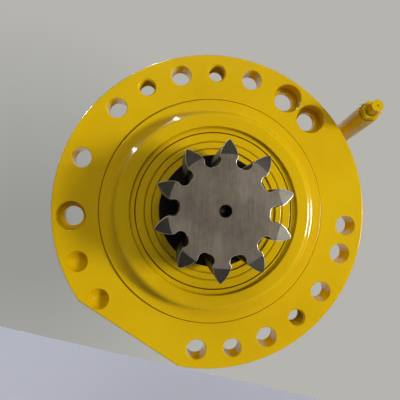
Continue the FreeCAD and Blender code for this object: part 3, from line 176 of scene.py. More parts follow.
# %% [markdown]
# ## Yellow paint
# The drive is sprayed after it is assembled, so case, pipes, seal and collar share one thick gloss
# enamel. It has a faint orange peel, a slightly uneven coat, and on the raw casting behind the
# flange the sand texture shows through. A clear coat on the shader gives the wet gloss. The inner
# corners get painted shade, browned with a little oil and dust. It could be painted on by hand, but
# an ambient occlusion node finds the corners by itself: there the paint is darkened to brown and
# the coat is gone, so every groove shows as a line. The two pits in the flange are darkened all
# over, painted shade for their shaded walls.

# %% Yellow paint
YELLOW_THIN, YELLOW_FULL = srgb(215, 172, 0), srgb(223, 184, 0)
DUSTY_YELLOW = srgb(176, 140, 24)
CORNER_SHADE_AND_DIRT = srgb(66, 28, 0)


def paint(name, peel, casting, corner_shade_and_dirt, reach=0.003, coat=0.8):
    """Enamel: depth of ripple and sand below it, painted corner shade and dirt, and clear coat."""
    material, tree, shader = new_material(name)
    here = place_on_piece(tree)
    clouds = noise(tree, here, 9, detail=3)
    tint = ramp(tree, clouds, (0.3, YELLOW_THIN), (0.7, YELLOW_FULL))
    specks = noise(tree, here, 420, detail=6, roughness=0.7)
    dust = ramp(tree, specks, (0.66, grey(0.0)), (0.78, grey(0.35)))
    colour = mix_colours(tree, dust, tint, DUSTY_YELLOW)
    # Ambient occlusion browns the inner corners: painted shade, with a little oil and dust.
    corners = add_node(tree, "ShaderNodeAmbientOcclusion", samples=6, Distance=reach)
    shaded_corners_mask = ramp(tree, corners.outputs["AO"], (0.45, grey(corner_shade_and_dirt)), (0.8, grey(0.0)))
    colour = mix_colours(tree, shaded_corners_mask, colour, CORNER_SHADE_AND_DIRT)
    tree.links.new(colour, shader.inputs["Base Color"])
    handled = noise(tree, here, 26, detail=5, roughness=0.6)
    gloss = ramp(tree, handled, (0.35, grey(0.24)), (0.75, grey(0.36)))
    tree.links.new(gloss, shader.inputs["Roughness"])
    ripple = noise(tree, here, 260, detail=2)
    normal = bump(tree, ripple, 0.5, peel)
    if casting:
        sand = noise(tree, here, 330, detail=8, roughness=0.75)
        lumps = noise(tree, here, 60, detail=3)
        normal = bump(tree, sand, 0.6, casting, normal)
        normal = bump(tree, lumps, 0.5, casting * 2, normal)
    tree.links.new(normal, shader.inputs["Normal"])
    shader.inputs["Specular IOR Level"].default_value = 0.06
    clean = ramp(tree, corners.outputs["AO"], (0.5, grey(0.0)), (0.9, grey(coat)))
    tree.links.new(clean, shader.inputs["Coat Weight"])
    shader.inputs["Coat Roughness"].default_value = 0.06
    return material


PAINT = paint("yellow enamel", 0.00006, 0, 0.8)
PAINT_ON_CASTING = paint("yellow enamel on casting", 0.00008, 0.00025, 0.9)
# In the pits the corner darkening reaches across the whole pit, painted shade for its shaded walls.
# This enamel has no coat.
PAINT_SHADED_IN_PITS = paint("yellow enamel shaded in pits", 0.00006, 0, 0.85, reach=0.014, coat=0)
print("paints:", [material.name for material in bpy.data.materials])

# %% [markdown]
# ## Bare and plated metals
# The pinion's end is milled and then darkened by oil and handling, so it is dull, warm and
# streaked. Its flanks and shaft shoulder are darker still, painted shade for the tooth gaps, and
# its rubbed edges are lightened as a painted highlight. The other steels differ by how they were
# finished: ground gears, polished rollers, black bolts and zinc plated fittings. Each could have a
# tree of its own, but the eye only tells them apart by colour, gloss and the run of the marks, so
# all
# of them are one recipe with other values: stretched noise for the tool marks, soft noise for the
# stains.

# %% Metals


def metal(name, dark, light, roughness, stretch, marks, metallic=1.0, stain=0.35):
    """A metal between two colours. Its tool marks run along the axis of the least stretch."""
    material, tree, shader = new_material(name)
    dark, light = srgb(*dark), srgb(*light)
    here = place_on_piece(tree)
    lined = place_on_piece(tree, scale=stretch)
    cloudy = noise(tree, here, 22, detail=6, roughness=0.62)
    body = ramp(tree, cloudy, (0.32, dark), (0.68, light))
    streaks = noise(tree, lined, 900, detail=4, roughness=0.6)
    lines = ramp(tree, streaks, (0.3, grey(0.78)), (0.7, grey(1.12)))
    colour = mix_colours(tree, 1.0, body, lines, "MULTIPLY")
    spots = noise(tree, here, 75, detail=8, roughness=0.7)
    stained = ramp(tree, spots, (0.56, grey(0.0)), (0.72, grey(stain)))
    colour = mix_colours(tree, stained, colour, tuple(level * 0.45 for level in dark[:3]) + (1.0,))
    tree.links.new(colour, shader.inputs["Base Color"])
    low, high = roughness
    dullness = ramp(tree, cloudy, (0.3, grey(low)), (0.7, grey(high)))
    tree.links.new(dullness, shader.inputs["Roughness"])
    tree.links.new(bump(tree, streaks, 0.5, marks), shader.inputs["Normal"])
    shader.inputs["Metallic"].default_value = metallic
    return material


PINION_STEEL = metal(
    "milled pinion steel", (97, 88, 75), (131, 120, 105), (0.5, 0.6), (1, 0.12, 0.06), 0.00004,
    metallic=0.4,
)
# The tooth flanks are darkened as painted shade for the gaps between the teeth.
SHADED_FLANK_STEEL = metal(
    "hobbed tooth steel darkened as painted shade", (56, 52, 47), (86, 81, 74), (0.46, 0.6), (1, 0.05, 1), 0.00004,
    metallic=0.7,
)
# The rubbed edges are worn bright, and lightened further as a painted highlight.
WORN_HIGHLIT_EDGE_STEEL = metal(
    "rubbed edges lightened as painted highlight", (206, 200, 188), (236, 230, 220), (0.28, 0.38), (1, 1, 1), 0.00001,
    metallic=0.9, stain=0.1,
)
BEVEL_STEEL = metal(
    "turned bevel steel", (80, 76, 69), (106, 101, 93), (0.42, 0.48), (1, 1, 1), 0.00003,
    metallic=0.85,
)
# The shaft and its shoulder are oily, and darkened further as painted shade for the deep tooth
# gaps.
OILY_SHADED_SHAFT_STEEL = metal(
    "oily shaft steel darkened as painted shade", (14, 12, 10), (28, 24, 20), (0.45, 0.6), (1, 0.3, 1), 0.00004,
    metallic=0.3,
)
GEAR_STEEL = metal(
    "ground gear steel", (150, 150, 152), (186, 186, 188), (0.22, 0.34), (1, 0.08, 1), 0.00003
)
ROLLER_STEEL = metal(
    "polished roller steel", (200, 200, 202), (224, 224, 226), (0.1, 0.18), (0.2, 1, 0.2),
    0.00001, stain=0.08,
)
BLACK_STEEL = metal(
    "black bolt steel", (34, 34, 36), (58, 58, 60), (0.34, 0.5), (1, 1, 1), 0.00004, stain=0.2
)
ZINC_STEEL = metal(
    "zinc plated steel", (168, 165, 150), (200, 197, 186), (0.28, 0.42), (1, 0.2, 1), 0.00003
)
CARRIER_IRON = metal(
    "machined iron", (92, 92, 94), (124, 124, 126), (0.38, 0.55), (0.3, 1, 0.3), 0.00006
)
BRONZE = metal(
    "bearing bronze", (176, 128, 62), (206, 160, 90), (0.22, 0.36), (0.3, 1, 0.3), 0.00003
)
LINING = metal(
    "brake lining", (72, 54, 40), (104, 82, 62), (0.7, 0.9), (1, 1, 1), 0.0001, metallic=0.0
)
RUBBER = metal(
    "seal rubber", (20, 20, 21), (34, 34, 35), (0.5, 0.7), (1, 1, 1), 0.00003, metallic=0.0
)
print("metals:", [material.name for material in bpy.data.materials])

# %% [markdown]
# ## Finishes for the pieces that stay as the CAD made them
# Gears, bearings, brake and motor parts sit inside the case, and their CAD shapes are right. They
# only need the finish that the record's material slot names.

# %% Finish every CAD piece
FINISH_OF_SLOT = {
    "yellow_paint": PAINT,
    "painted_seal": PAINT,
    "pinion_steel": PINION_STEEL,
    "gear_steel": GEAR_STEEL,
    "bearing_steel": ROLLER_STEEL,
    "bolt_steel": BLACK_STEEL,
    "zinc_steel": ZINC_STEEL,
    "carrier_iron": CARRIER_IRON,
    "bush_brass": BRONZE,
    "brake_lining": LINING,
    "seal_rubber": RUBBER,
}
SLOT_OF_NODE = {part["node"]: part["material_slot"] for part in frame["record"]["subparts"]}
for node_name, node in nodes.items():
    for slot in node.material_slots:
        slot.material = FINISH_OF_SLOT[SLOT_OF_NODE[node_name]]
print("finished", len(nodes), "CAD pieces")

# %% [markdown]
# ## Making helpers
# Most pieces are turned on a lathe, so most of them start as a closed outline of radius and place
# that spins once round the axis. Prisms, tubes along a path and Boolean cuts make the rest. Plain
# cylinders could be joined instead, but an outline holds every fillet too. Lengths are in
# millimetres, as on a drawing, and become metres at the moment a point is made.

# %% Outlines and turning
MM = 0.001
ALONG = Vector((0, 1, 0))
SAME_POINT = 0.000001


def at(radius, angle, place):
    """The point at a radius and angle round the axis and a place along it."""
    turn = math.radians(angle)
    return Vector((radius * math.cos(turn), place, radius * math.sin(turn))) * MM


def rounded(corners, steps):
    """A closed outline. A third value in a corner is the radius of the arc that rounds it."""
    points = []
    for index, corner in enumerate(corners):
        here = Vector(corner[:2])
        if len(corner) == 2:
            points.append(here)
            continue
        back = (Vector(corners[index - 1][:2]) - here).normalized()
        ahead = (Vector(corners[(index + 1) % len(corners)][:2]) - here).normalized()
        half = back.angle(ahead) / 2
        centre = here + (back + ahead).normalized() * corner[2] / math.sin(half)
        first = (here + back * corner[2] / math.tan(half) - centre).normalized()
        last = (here + ahead * corner[2] / math.tan(half) - centre).normalized()
        for step in range(steps + 1):
            points.append(centre + first.slerp(last, step / steps) * corner[2])
    return points


def turned(corners, steps, arc_steps=6):
    """The outline of (radius, place) corners, spun once round the Y axis."""
    mesh = bmesh.new()
    ring = [mesh.verts.new((x * MM, y * MM, 0)) for x, y in rounded(corners, arc_steps)]
    edges = [mesh.edges.new(pair) for pair in zip(ring, ring[1:] + ring[:1])]
    bmesh.ops.spin(
        mesh, geom=ring + edges, cent=(0, 0, 0), axis=ALONG, angle=math.tau, steps=steps,
        use_merge=True,
    )
    bmesh.ops.remove_doubles(mesh, verts=mesh.verts, dist=SAME_POINT)
    bmesh.ops.recalc_face_normals(mesh, faces=mesh.faces)
    return mesh


print("a point at radius 100 and 90 degrees:", tuple(at(100, 90, 0)))

# %% Placing and gathering


def moved(mesh, angle, radius, place=0.0):
    """Carries a mesh made on the axis to its radius and angle."""
    bmesh.ops.translate(mesh, verts=mesh.verts, vec=at(radius, angle, place))
    return mesh


def aimed(mesh, point, direction):
    """Turns a mesh made along Y into a direction and carries its origin to a point."""
    turn = ALONG.rotation_difference(direction).to_matrix().to_4x4()
    bmesh.ops.transform(mesh, matrix=Matrix.Translation(point) @ turn, verts=mesh.verts)
    return mesh


def swung(mesh, angle):
    """Turns a mesh about the axis, from angle 0 to its angle."""
    turn = Matrix.Rotation(-math.radians(angle), 4, "Y")
    bmesh.ops.transform(mesh, matrix=turn, verts=mesh.verts)
    return mesh


def gathered(*meshes):
    """Puts several meshes into the first one."""
    whole = meshes[0]
    for mesh in meshes[1:]:
        data = bpy.data.meshes.new("part")
        mesh.to_mesh(data)
        mesh.free()
        whole.from_mesh(data)
        bpy.data.meshes.remove(data)
    return whole


print("placing helpers ready")

# %% Prisms


def extruded(points, way):
    """A ring of points, filled with a face that is pulled along the way."""
    mesh = bmesh.new()
    face = mesh.faces.new([mesh.verts.new(point) for point in points])
    swept = bmesh.ops.extrude_face_region(mesh, geom=[face])["geom"]
    pulled = [item for item in swept if isinstance(item, bmesh.types.BMVert)]
    bmesh.ops.translate(mesh, verts=pulled, vec=way)
    return mesh


def is_square_to(edge, axis):
    """True where both ends of an edge are at the same place along an axis."""
    return abs(edge.verts[0].co[axis] - edge.verts[1].co[axis]) < 1e-7


def bevelled(mesh, edges, width, segments, clamp=True):
    """Bevels the edges by a width in millimetres."""
    bmesh.ops.bevel(
        mesh, geom=edges, offset=width * MM, offset_type="OFFSET", segments=segments, profile=0.5,
        affect="EDGES", material=-1, clamp_overlap=clamp,
    )


def prism(points, start, length, edge=0.0, edge_steps=2):
    """An outline of (x, z) points, extruded along Y, its end edges bevelled."""
    mesh = extruded([Vector((x, start, z)) * MM for x, z in points], ALONG * length * MM)
    bmesh.ops.recalc_face_normals(mesh, faces=mesh.faces)
    if edge:
        bevelled(mesh, [side for side in mesh.edges if is_square_to(side, 1)], edge, edge_steps)
    return mesh


def hexagon(across, start, height, edge):
    """A hexagonal prism, its end edges bevelled."""
    reach = across / 2 / math.cos(math.radians(30))
    turns = [math.radians(60 * corner) for corner in range(6)]
    return prism([(reach * math.cos(t), reach * math.sin(t)) for t in turns], start, height, edge)


print("prisms ready")

# %% Cuts


def as_object(mesh, name):
    data = bpy.data.meshes.new(name)
    mesh.to_mesh(data)
    mesh.free()
    thing = bpy.data.objects.new(name, data)
    bpy.context.collection.objects.link(thing)
    return thing


def cut_by(mesh, *cutters, operation="DIFFERENCE"):
    """Works out a Boolean at once: takes the cutters away, joins them or keeps what they share."""
    blank = as_object(mesh, "blank")
    tool = as_object(gathered(*cutters), "tool")
    boolean = blank.modifiers.new("cut", "BOOLEAN")
    boolean.operation = operation
    boolean.solver = "EXACT"
    boolean.object = tool
    bpy.context.view_layer.update()
    worked = blank.evaluated_get(bpy.context.evaluated_depsgraph_get())
    result = bmesh.new()
    result.from_mesh(worked.to_mesh())
    worked.to_mesh_clear()
    for thing in (blank, tool):
        data = thing.data
        bpy.data.objects.remove(thing)
        bpy.data.meshes.remove(data)
    return result


print("cuts ready")

# %% Finished pieces
SHARP = math.radians(32)


def finished(name, mesh, body, finishes, nodes_replaced, crease=None):
    """Makes the mesh a shown piece that rides on its body and stands for its CAD nodes."""
    bmesh.ops.remove_doubles(mesh, verts=mesh.verts, dist=SAME_POINT)
    bmesh.ops.recalc_face_normals(mesh, faces=mesh.faces)
    for face in mesh.faces:
        face.smooth = True
    for edge in mesh.edges:
        edge.smooth = edge.is_manifold and edge.calc_face_angle(0) < SHARP
        if crease is not None and crease(edge):
            edge.smooth = False
    thing = as_object(mesh, name)
    thing.modifiers.new("flat faces stay flat", "WEIGHTED_NORMAL").keep_sharp = True
    for finish in finishes:
        thing.data.materials.append(finish)
    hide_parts(*nodes_replaced)
    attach(thing, body)
    size = thing.dimensions
    print(f"{name}: {len(thing.data.polygons)} faces, {size.x:.3f} x {size.y:.3f} x {size.z:.3f} m")
    return thing


print("edges steeper than", round(math.degrees(SHARP)), "degrees stay sharp")

# %% [markdown]
# ## The gear case
# A casting, machined where it mounts. One outline holds the flange, the pilot step, the front boss
# with its recess, the neck behind the flange and the rear rim, so one spin makes them all and every
# fillet is an arc of that outline. The alternative is to bevel the edges afterwards, but the bevel
# would meet the holes. The holes, the dimples and the flat are then cut with shapes that flare
# where they leave the metal, so that each rim gets its chamfer from the same cut.

# %% Gear case blank
FLANGE_RADIUS, FLANGE_THICKNESS = 210, 30
BOSS_RADIUS, BOSS_FACE, RECESS_FLOOR = 128, -28, -23
PILOT_RADIUS, PILOT_FACE = 148, -4
NECK_RADIUS, RIM_RADIUS, CASE_END = 122, 158, 186

case_mesh = turned(
    [
        (101, RECESS_FLOOR), (106.5, RECESS_FLOOR, 0.8), (107.5, BOSS_FACE, 0.6),
        (BOSS_RADIUS, BOSS_FACE, 8), (BOSS_RADIUS, PILOT_FACE, 9), (PILOT_RADIUS, PILOT_FACE, 0.7),
        (PILOT_RADIUS, 1), (149.8, 1), (149.8, 0), (FLANGE_RADIUS, 0, 2),
        (FLANGE_RADIUS, FLANGE_THICKNESS, 2), (NECK_RADIUS, FLANGE_THICKNESS, 10),
        (NECK_RADIUS, 150, 6), (RIM_RADIUS, 162, 4), (RIM_RADIUS, CASE_END, 1), (111, CASE_END),
        (111, 168.3), (92, 168.3), (92, 128), (82, 128), (82, 118), (105, 118), (105, 66), (88, 66),
        (88, 56), (98, 56), (98, -5.5), (101, -5.5),
    ],
    steps=288,
)
print("case blank:", len(case_mesh.faces), "faces")

# %% Drills
RIM_CHAMFER = 0.9
SPARE = 5


def drill(radius, depth, edge=RIM_CHAMFER, steps=56):
    """A cutter for a hole right through a wall, flared at both faces."""
    wide = radius + edge + SPARE
    return turned(
        [(0, -SPARE), (wide, -SPARE), (radius, edge), (radius, depth - edge), (wide, depth + SPARE),
         (0, depth + SPARE)], steps,
    )


def counterbore(radius, head, head_depth, depth):
    """A cutter for a hole whose front is wider, to sink a screw's head."""
    flare = RIM_CHAMFER + SPARE
    return turned(
        [(0, -SPARE), (head + flare, -SPARE), (head, RIM_CHAMFER), (head, head_depth, 0.8),
         (radius + 0.7, head_depth), (radius, head_depth + 0.7), (radius, depth - RIM_CHAMFER),
         (radius + flare, depth + SPARE), (0, depth + SPARE)], 64,
    )


def tap(radius, thread, pitch, depth):
    """A cutter for a tapped hole, its thread shown as grooves one pitch apart."""
    corners = [(0, -SPARE), (thread + 0.4 + SPARE, -SPARE), (radius, thread + 0.4 - radius)]
    place = pitch
    while place + pitch < depth - 1:
        corners += [(radius, place), (thread, place + pitch * 0.45), (thread, place + pitch * 0.55)]
        place += pitch
    corners += [(radius, place), (radius, depth - 1), (radius + 1 + SPARE, depth + SPARE)]
    return turned(corners + [(0, depth + SPARE)], 48)


print("drills ready, each", SPARE, "mm longer than its hole at both ends")

# %% Gear case holes
BOLT_CIRCLE = 185
THROUGH_HOLES = (75, 105, 135, 160, 265.5, 295.5, 325.5, 343.6, 355.7)
DOWEL_HOLE = 280.5
COUNTERBORED_HOLES = (44.8, 58, 184.2)
TAPPED_HOLES = (90, 120, 310.5)
SCREW_CIRCLE = 142
SCREW_ANGLES = [22.5 + 45 * step for step in range(8)]

cutters = [moved(drill(13, FLANGE_THICKNESS), angle, BOLT_CIRCLE) for angle in THROUGH_HOLES]
cutters.append(moved(drill(12, FLANGE_THICKNESS), DOWEL_HOLE, BOLT_CIRCLE))
for angle in COUNTERBORED_HOLES:
    cutters.append(moved(counterbore(13, 19, 18, FLANGE_THICKNESS), angle, BOLT_CIRCLE))
for angle in TAPPED_HOLES:
    cutters.append(moved(tap(10.5, 12, 3, FLANGE_THICKNESS), angle, BOLT_CIRCLE))
print("cutters for the flange's holes:", len(cutters))

# %% Dimples, flat and rear holes
DIMPLES = (202.6, 219.8)
DIMPLE_CIRCLE = 188
DIMPLE_BALL = 13.83
FLAT_ANGLE, FLAT_DISTANCE = 237.9, 195

for angle in DIMPLES:
    ball = bmesh.new()
    ball_place = Matrix.Translation(at(DIMPLE_CIRCLE, angle, -1.5))
    bmesh.ops.create_uvsphere(
        ball, u_segments=64, v_segments=32, radius=DIMPLE_BALL * MM, matrix=ball_place
    )
    cutters.append(ball)
flat_shape = [
    (FLAT_DISTANCE - 6.5, -5), (FLAT_DISTANCE, 1.5), (FLAT_DISTANCE, 28.5),
    (FLAT_DISTANCE - 6.5, 35), (260, 35), (260, -5),
]
flat_cutter = extruded([Vector((x, y, -150)) * MM for x, y in flat_shape], Vector((0, 0, 300)) * MM)
flat_cutter = swung(flat_cutter, FLAT_ANGLE)
bmesh.ops.recalc_face_normals(flat_cutter, faces=flat_cutter.faces)
cutters.append(flat_cutter)
cutters += [moved(drill(8, 24, 0.6, 24), angle, SCREW_CIRCLE, 162) for angle in SCREW_ANGLES]
case_mesh = cut_by(case_mesh, *cutters)
print("case with its holes:", len(case_mesh.faces), "faces")

# %% [markdown]
# ### Ribs and pipe bosses
# The ribs are cast as thin plates with soft edges. Each is one outline beside the axis, extruded to
# its thickness, bevelled and swung into its place. The two bosses are short turned rings that point
# outwards. A Boolean could join them to the case, but they run into it and the joint is hidden.

# %% Ribs
RIB_THICKNESS = 13
rib_shape = rounded(
    [(117.75, 28), (152, 28), (137, 60, 12), (137, 147, 8), (152, 164), (117.75, 164)], 5
)
ribs = []
for step in range(8):
    rib = extruded(
        [Vector((x, y, -RIB_THICKNESS / 2)) * MM for x, y in rib_shape],
        Vector((0, 0, RIB_THICKNESS)) * MM,
    )
    bevelled(rib, [edge for edge in rib.edges if is_square_to(edge, 2)], 3, 4, clamp=False)
    ribs.append(swung(rib, 45 * step))
print("ribs:", len(ribs), "of", RIB_THICKNESS, "mm")

# %% Bosses and the finished case
DRAIN_ANGLE, GAUGE_ANGLE, PIPES_PLACE = 30.35, 120.5, 104
PIT_REACH = 14.5

bosses = []
for angle, outside, bore in ((DRAIN_ANGLE, 21, 13.5), (GAUGE_ANGLE, 15, 9)):
    ring = turned(
        [(bore, 10), (bore, 24.5, 0.8), (outside, 24.5, 2), (outside, 0), (0, 0), (0, 10)], 64
    )
    bosses.append(aimed(ring, at(113.5, angle, PIPES_PLACE), at(1000, angle, 0)))
case_mesh = gathered(case_mesh, *ribs, *bosses)
pits = [at(DIMPLE_CIRCLE, angle, 0) for angle in DIMPLES]
for face in case_mesh.faces:
    middle = face.calc_center_median()
    behind_flange = middle.y > (FLANGE_THICKNESS + 0.5) * MM
    raw = behind_flange and math.hypot(middle.x, middle.z) > 116 * MM
    face.material_index = 1 if raw else 0
    # Faces in the two pits take the enamel that is darkened all over as painted shade.
    if middle.y > 0.2 * MM and min((middle - pit).length for pit in pits) < PIT_REACH * MM:
        face.material_index = 2
finished(
    "case_casting", case_mesh, "case", [PAINT, PAINT_ON_CASTING, PAINT_SHADED_IN_PITS],
    ["gear_case"],
)

# %% [markdown]
# ## The drive pinion
# Ten involute teeth, hobbed into one piece with the shaft. The outline comes from the involute's
# formula, with an arc over each tip and two fillets and a bottom in each gap. It is extruded once.
# Splitting the front face along arcs at several radii lets each tooth's end lean back as a cone, as
# on the turned blank. A twist or a subdivided cylinder would need more work for a worse flank.

# %% Pinion outline
TEETH = 10
PITCH_RADIUS = 60
TIP, ROOT = 75, 46.8
FIRST_TOOTH = 88.25
TOOTH_THICKNESS = 18.7
BEVEL_RADIUS = 59
PRESSURE = math.radians(20)
BASE = PITCH_RADIUS * math.cos(PRESSURE)
HALF_AT_PITCH = TOOTH_THICKNESS / 2 / PITCH_RADIUS
FLANK_RADII = (BASE, BEVEL_RADIUS, 62, 65, 67.5, 70, 72.5, TIP)


def involute(angle):
    return math.tan(angle) - angle


def half_tooth(radius):
    """Half of the angle that a tooth fills at a radius."""
    slope = math.acos(min(1, BASE / radius))
    return HALF_AT_PITCH + involute(PRESSURE) - involute(slope)


def spot(radius, turn):
    return Vector((radius * math.cos(turn), radius * math.sin(turn)))


def arc_through(first, middle, last, steps):
    """Points on the circle through three points, the first one included and the last left out."""
    ax, ay = middle - first
    bx, by = last - first
    cross = 2 * (ax * by - ay * bx)
    a, b = ax * ax + ay * ay, bx * bx + by * by
    centre = first + Vector(((by * a - ay * b) / cross, (ax * b - bx * a) / cross))
    start, end = first - centre, last - centre
    reach = start.length
    return [centre + start.slerp(end, step / steps).normalized() * reach for step in range(steps)]


def pinion_points():
    """The outline, tooth by tooth: up a flank, over the tip, down a flank, then through the gap."""
    step = math.tau / TEETH
    halves = [half_tooth(radius) for radius in FLANK_RADII]
    root_round = (step / 2 - halves[0]) * 0.55
    crook = root_round * 0.22
    bend = ROOT + (BASE - ROOT) * 0.45 * 0.35
    points = []
    for tooth in range(TEETH):
        middle = math.radians(FIRST_TOOTH) + step * tooth
        points += [spot(r, middle - half) for r, half in zip(FLANK_RADII, halves)]
        points += [spot(TIP, middle + halves[-1] * part) for part in (-0.5, 0, 0.5)]
        falling = list(zip(FLANK_RADII, halves))[:0:-1]
        points += [spot(r, middle + half) for r, half in falling]
        foot, next_foot = middle + halves[0], middle + step - halves[0]
        low, high = spot(ROOT, foot + root_round), spot(ROOT, next_foot - root_round)
        points += arc_through(spot(BASE, foot), spot(bend, foot + crook), low, 7)
        points += arc_through(low, spot(ROOT, middle + step / 2), high, 4)
        points += arc_through(high, spot(bend, next_foot - crook), spot(BASE, next_foot), 7)
    return points


def radius_of(vert):
    return math.hypot(vert.co.x, vert.co.z) / MM


outline_points = pinion_points()
print("pinion outline:", len(outline_points), "points")

# %% Pinion teeth
PINION_FRONT, PINION_BACK = -126, -36
pinion_mesh = prism(outline_points, PINION_FRONT, PINION_BACK - PINION_FRONT)


def lean(mesh, place, radii, inner, drop):
    """Splits each tooth's end along arcs and leans it back from the inner radius outwards."""
    for radius in radii:
        on_end = [vert for vert in mesh.verts if abs(vert.co.y / MM - place) < 0.01]
        rim = [vert for vert in on_end if abs(radius_of(vert) - radius) < 0.01]
        for tooth in range(TEETH):
            middle = math.radians(FIRST_TOOTH + 360 / TEETH * tooth)
            towards = Vector((math.cos(middle), math.sin(middle)))
            near = sorted(
                rim, key=lambda v: -Vector((v.co.x, v.co.z)).normalized().dot(towards)
            )[:2]
            half = half_tooth(radius)
            near.sort(key=lambda v: (v.co.x * towards.y - v.co.z * towards.x), reverse=True)
            arc = [spot(radius, middle + half * part) for part in (-0.6, -0.2, 0.2, 0.6)]
            shared = [face for face in near[0].link_faces if face in near[1].link_faces]
            shared = [face for face in shared if abs(face.normal.y) > 0.5]
            coordinates = [Vector((x * MM, place * MM, z * MM)) for x, z in arc]
            bmesh.utils.face_split(shared[0], near[0], near[1], coords=coordinates)
    for vert in mesh.verts:
        if abs(vert.co.y / MM - place) < 0.01 and radius_of(vert) > inner:
            vert.co.y += drop * (radius_of(vert) - inner) * MM


lean(pinion_mesh, PINION_FRONT, FLANK_RADII[1:-1], BEVEL_RADIUS, 4.5 / 16)
lean(pinion_mesh, PINION_BACK, (70, 72.5), 70, -0.8)
print("pinion teeth:", len(pinion_mesh.faces), "faces")

# %% Pinion edges and shaft


def crosses_end(edge):
    """True for an edge between an end of the teeth and their sides."""
    first, second = edge.link_faces
    return (abs(first.normal.y) > 0.5) != (abs(second.normal.y) > 0.5)


pinion_mesh.normal_update()
ends = [edge for edge in pinion_mesh.edges if len(edge.link_faces) == 2 and crosses_end(edge)]
lands = [
    edge for edge in pinion_mesh.edges
    if min(radius_of(vert) for vert in edge.verts) > TIP - 0.1 and edge not in ends
    and abs(edge.verts[0].co.y - edge.verts[1].co.y) > 0.05 and edge.calc_face_angle(0) > 0.4
]
bevelled(pinion_mesh, ends + lands, 0.5, 2)
centre_hole = turned([(0, -131), (9, -131), (6.5, -125), (6.5, -90), (0, -86)], 40)
pinion_mesh = cut_by(pinion_mesh, centre_hole)
shaft = turned(
    [
        (0, PINION_BACK), (70, PINION_BACK, 1), (70, -24, 0.5), (66, -24), (66, 6), (60, 6),
        (60, 66), (56, 66), (56, 128), (54, 128), (54, 168), (48, 168), (48, 180), (44, 180),
        (44, 196, 1), (0, 196),
    ], 96,
)
pinion_mesh = gathered(pinion_mesh, shaft)
print("pinion with its shaft:", len(pinion_mesh.faces), "faces")

# %% Finished pinion
# Flanks and shaft take steels darkened as painted shade; the rubbed edges take a steel lightened as
# painted highlight.
PINION_FINISHES = [PINION_STEEL, SHADED_FLANK_STEEL, WORN_HIGHLIT_EDGE_STEEL, OILY_SHADED_SHAFT_STEEL, BEVEL_STEEL]
END_FACE, FLANKS, EDGES, SHAFT, BEVEL = range(5)
FACES_FRONT = -0.93

pinion_mesh.normal_update()
for face in pinion_mesh.faces:
    middle = face.calc_center_median() / MM
    reach = math.hypot(middle.x, middle.z)
    if middle.y > PINION_BACK - 1:
        face.material_index = SHAFT
    elif reach > TIP - 0.7 or FACES_FRONT < face.normal.y < -0.2:
        face.material_index = EDGES
    elif face.normal.y < FACES_FRONT and reach > BEVEL_RADIUS + 0.5:
        face.material_index = BEVEL
    else:
        face.material_index = END_FACE if face.normal.y < -0.5 and middle.y < -110 else FLANKS


def on_bevel_line(edge):
    """True where the flat end of a tooth turns into its cone."""
    return all(
        abs(radius_of(vert) - BEVEL_RADIUS) < 0.05 and vert.co.y / MM < PINION_FRONT + 0.1
        for vert in edge.verts
    )


finished(
    "drive_pinion", pinion_mesh, "pinion", PINION_FINISHES, ["pinion_shaft"],
    crease=on_bevel_line,
)

# %% [markdown]
# ## Collar and seal
# Both are turned. The collar is the polished sleeve that the seal's lip runs on, here oversprayed
# with the rest. The seal's face slopes away at both edges, which leaves two shallow grooves that
# show as thin lines. A bump could draw such lines, but the paint's painted corner shade and dirt
# gather only in real ones.

# %% Collar and seal
SEAL_FACE = -22.5
sleeve = turned(
    [(66, -21.5), (80, -21.5), (80, -24, 0.4), (88, -24, 2), (88, 6, 1), (66, 6)], 192,
)
finished("seal_sleeve", sleeve, "pinion", [PAINT], ["seal_collar"])
seal = turned(
    [
        (88.05, -21.3), (90.45, SEAL_FACE, 0.5), (99.2, SEAL_FACE, 0.6), (101, -20.7), (101, -5.5),
        (98.6, -5.5), (98.6, -15.9), (90.45, -15.9), (90.45, -6.7), (88.05, -6.7),
    ], 192,
)
finished("shaft_seal_ring", seal, "case", [PAINT], ["oil_seal"])

# %% [markdown]
# ## The pipes
# A bent pipe drains the case and a thinner one holds the dipstick. A pipe is a ring that walks
# along its path: straight, round the bend, straight on. Bridging the rings one after the other
# keeps the wall even through the bend. A curve with a bevel would do that too, but without the open
# bore. The plug in the drain's mouth is two hexagons, their corners turned off by a Boolean.

# %% Pipe helpers
BEND_STEPS = 14


def bent_path(first, corner, last, bend):
    """The points of two straight runs joined by an arc, with the direction at each."""
    back, ahead = (first - corner).normalized(), (last - corner).normalized()
    half = back.angle(ahead) / 2
    reach = bend / math.tan(half)
    centre = corner + (back + ahead).normalized() * bend / math.sin(half)
    start, end = corner + back * reach - centre, corner + ahead * reach - centre
    stations = [(first, -back)]
    for step in range(BEND_STEPS + 1):
        way = start.slerp(end, step / BEND_STEPS).normalized() * bend
        direction = start.cross(end).cross(way).normalized()
        stations.append((centre + way, direction))
    stations.append((last, ahead))
    return stations


def tube(stations, outside, bore, segments=48, edge=0.8):
    """A pipe along the stations, its far end rounded into the bore."""
    mesh = bmesh.new()
    rings = []
    far, direction = stations[-1]
    walk = [(point, way, outside) for point, way in stations[:-1]]
    walk += [(far - direction * edge * MM, direction, outside), (far, direction, outside - edge)]
    walk += [(far, direction, bore + edge), (far - direction * edge * MM, direction, bore)]
    walk += [(point, way, bore) for point, way in reversed(stations[:-1])]
    for point, way, radius in walk:
        turn = Vector((0, 0, 1)).rotation_difference(way).to_matrix().to_4x4()
        circle = bmesh.ops.create_circle(
            mesh, segments=segments, radius=radius * MM, matrix=Matrix.Translation(point) @ turn
        )["verts"]
        rings.append([side for side in mesh.edges if all(vert in circle for vert in side.verts)])
    for near, after in zip(rings, rings[1:] + rings[:1]):
        bmesh.ops.bridge_loops(mesh, edges=near + after)
    bmesh.ops.recalc_face_normals(mesh, faces=mesh.faces)
    return mesh


print("pipe helpers ready, each bend in", BEND_STEPS, "steps")

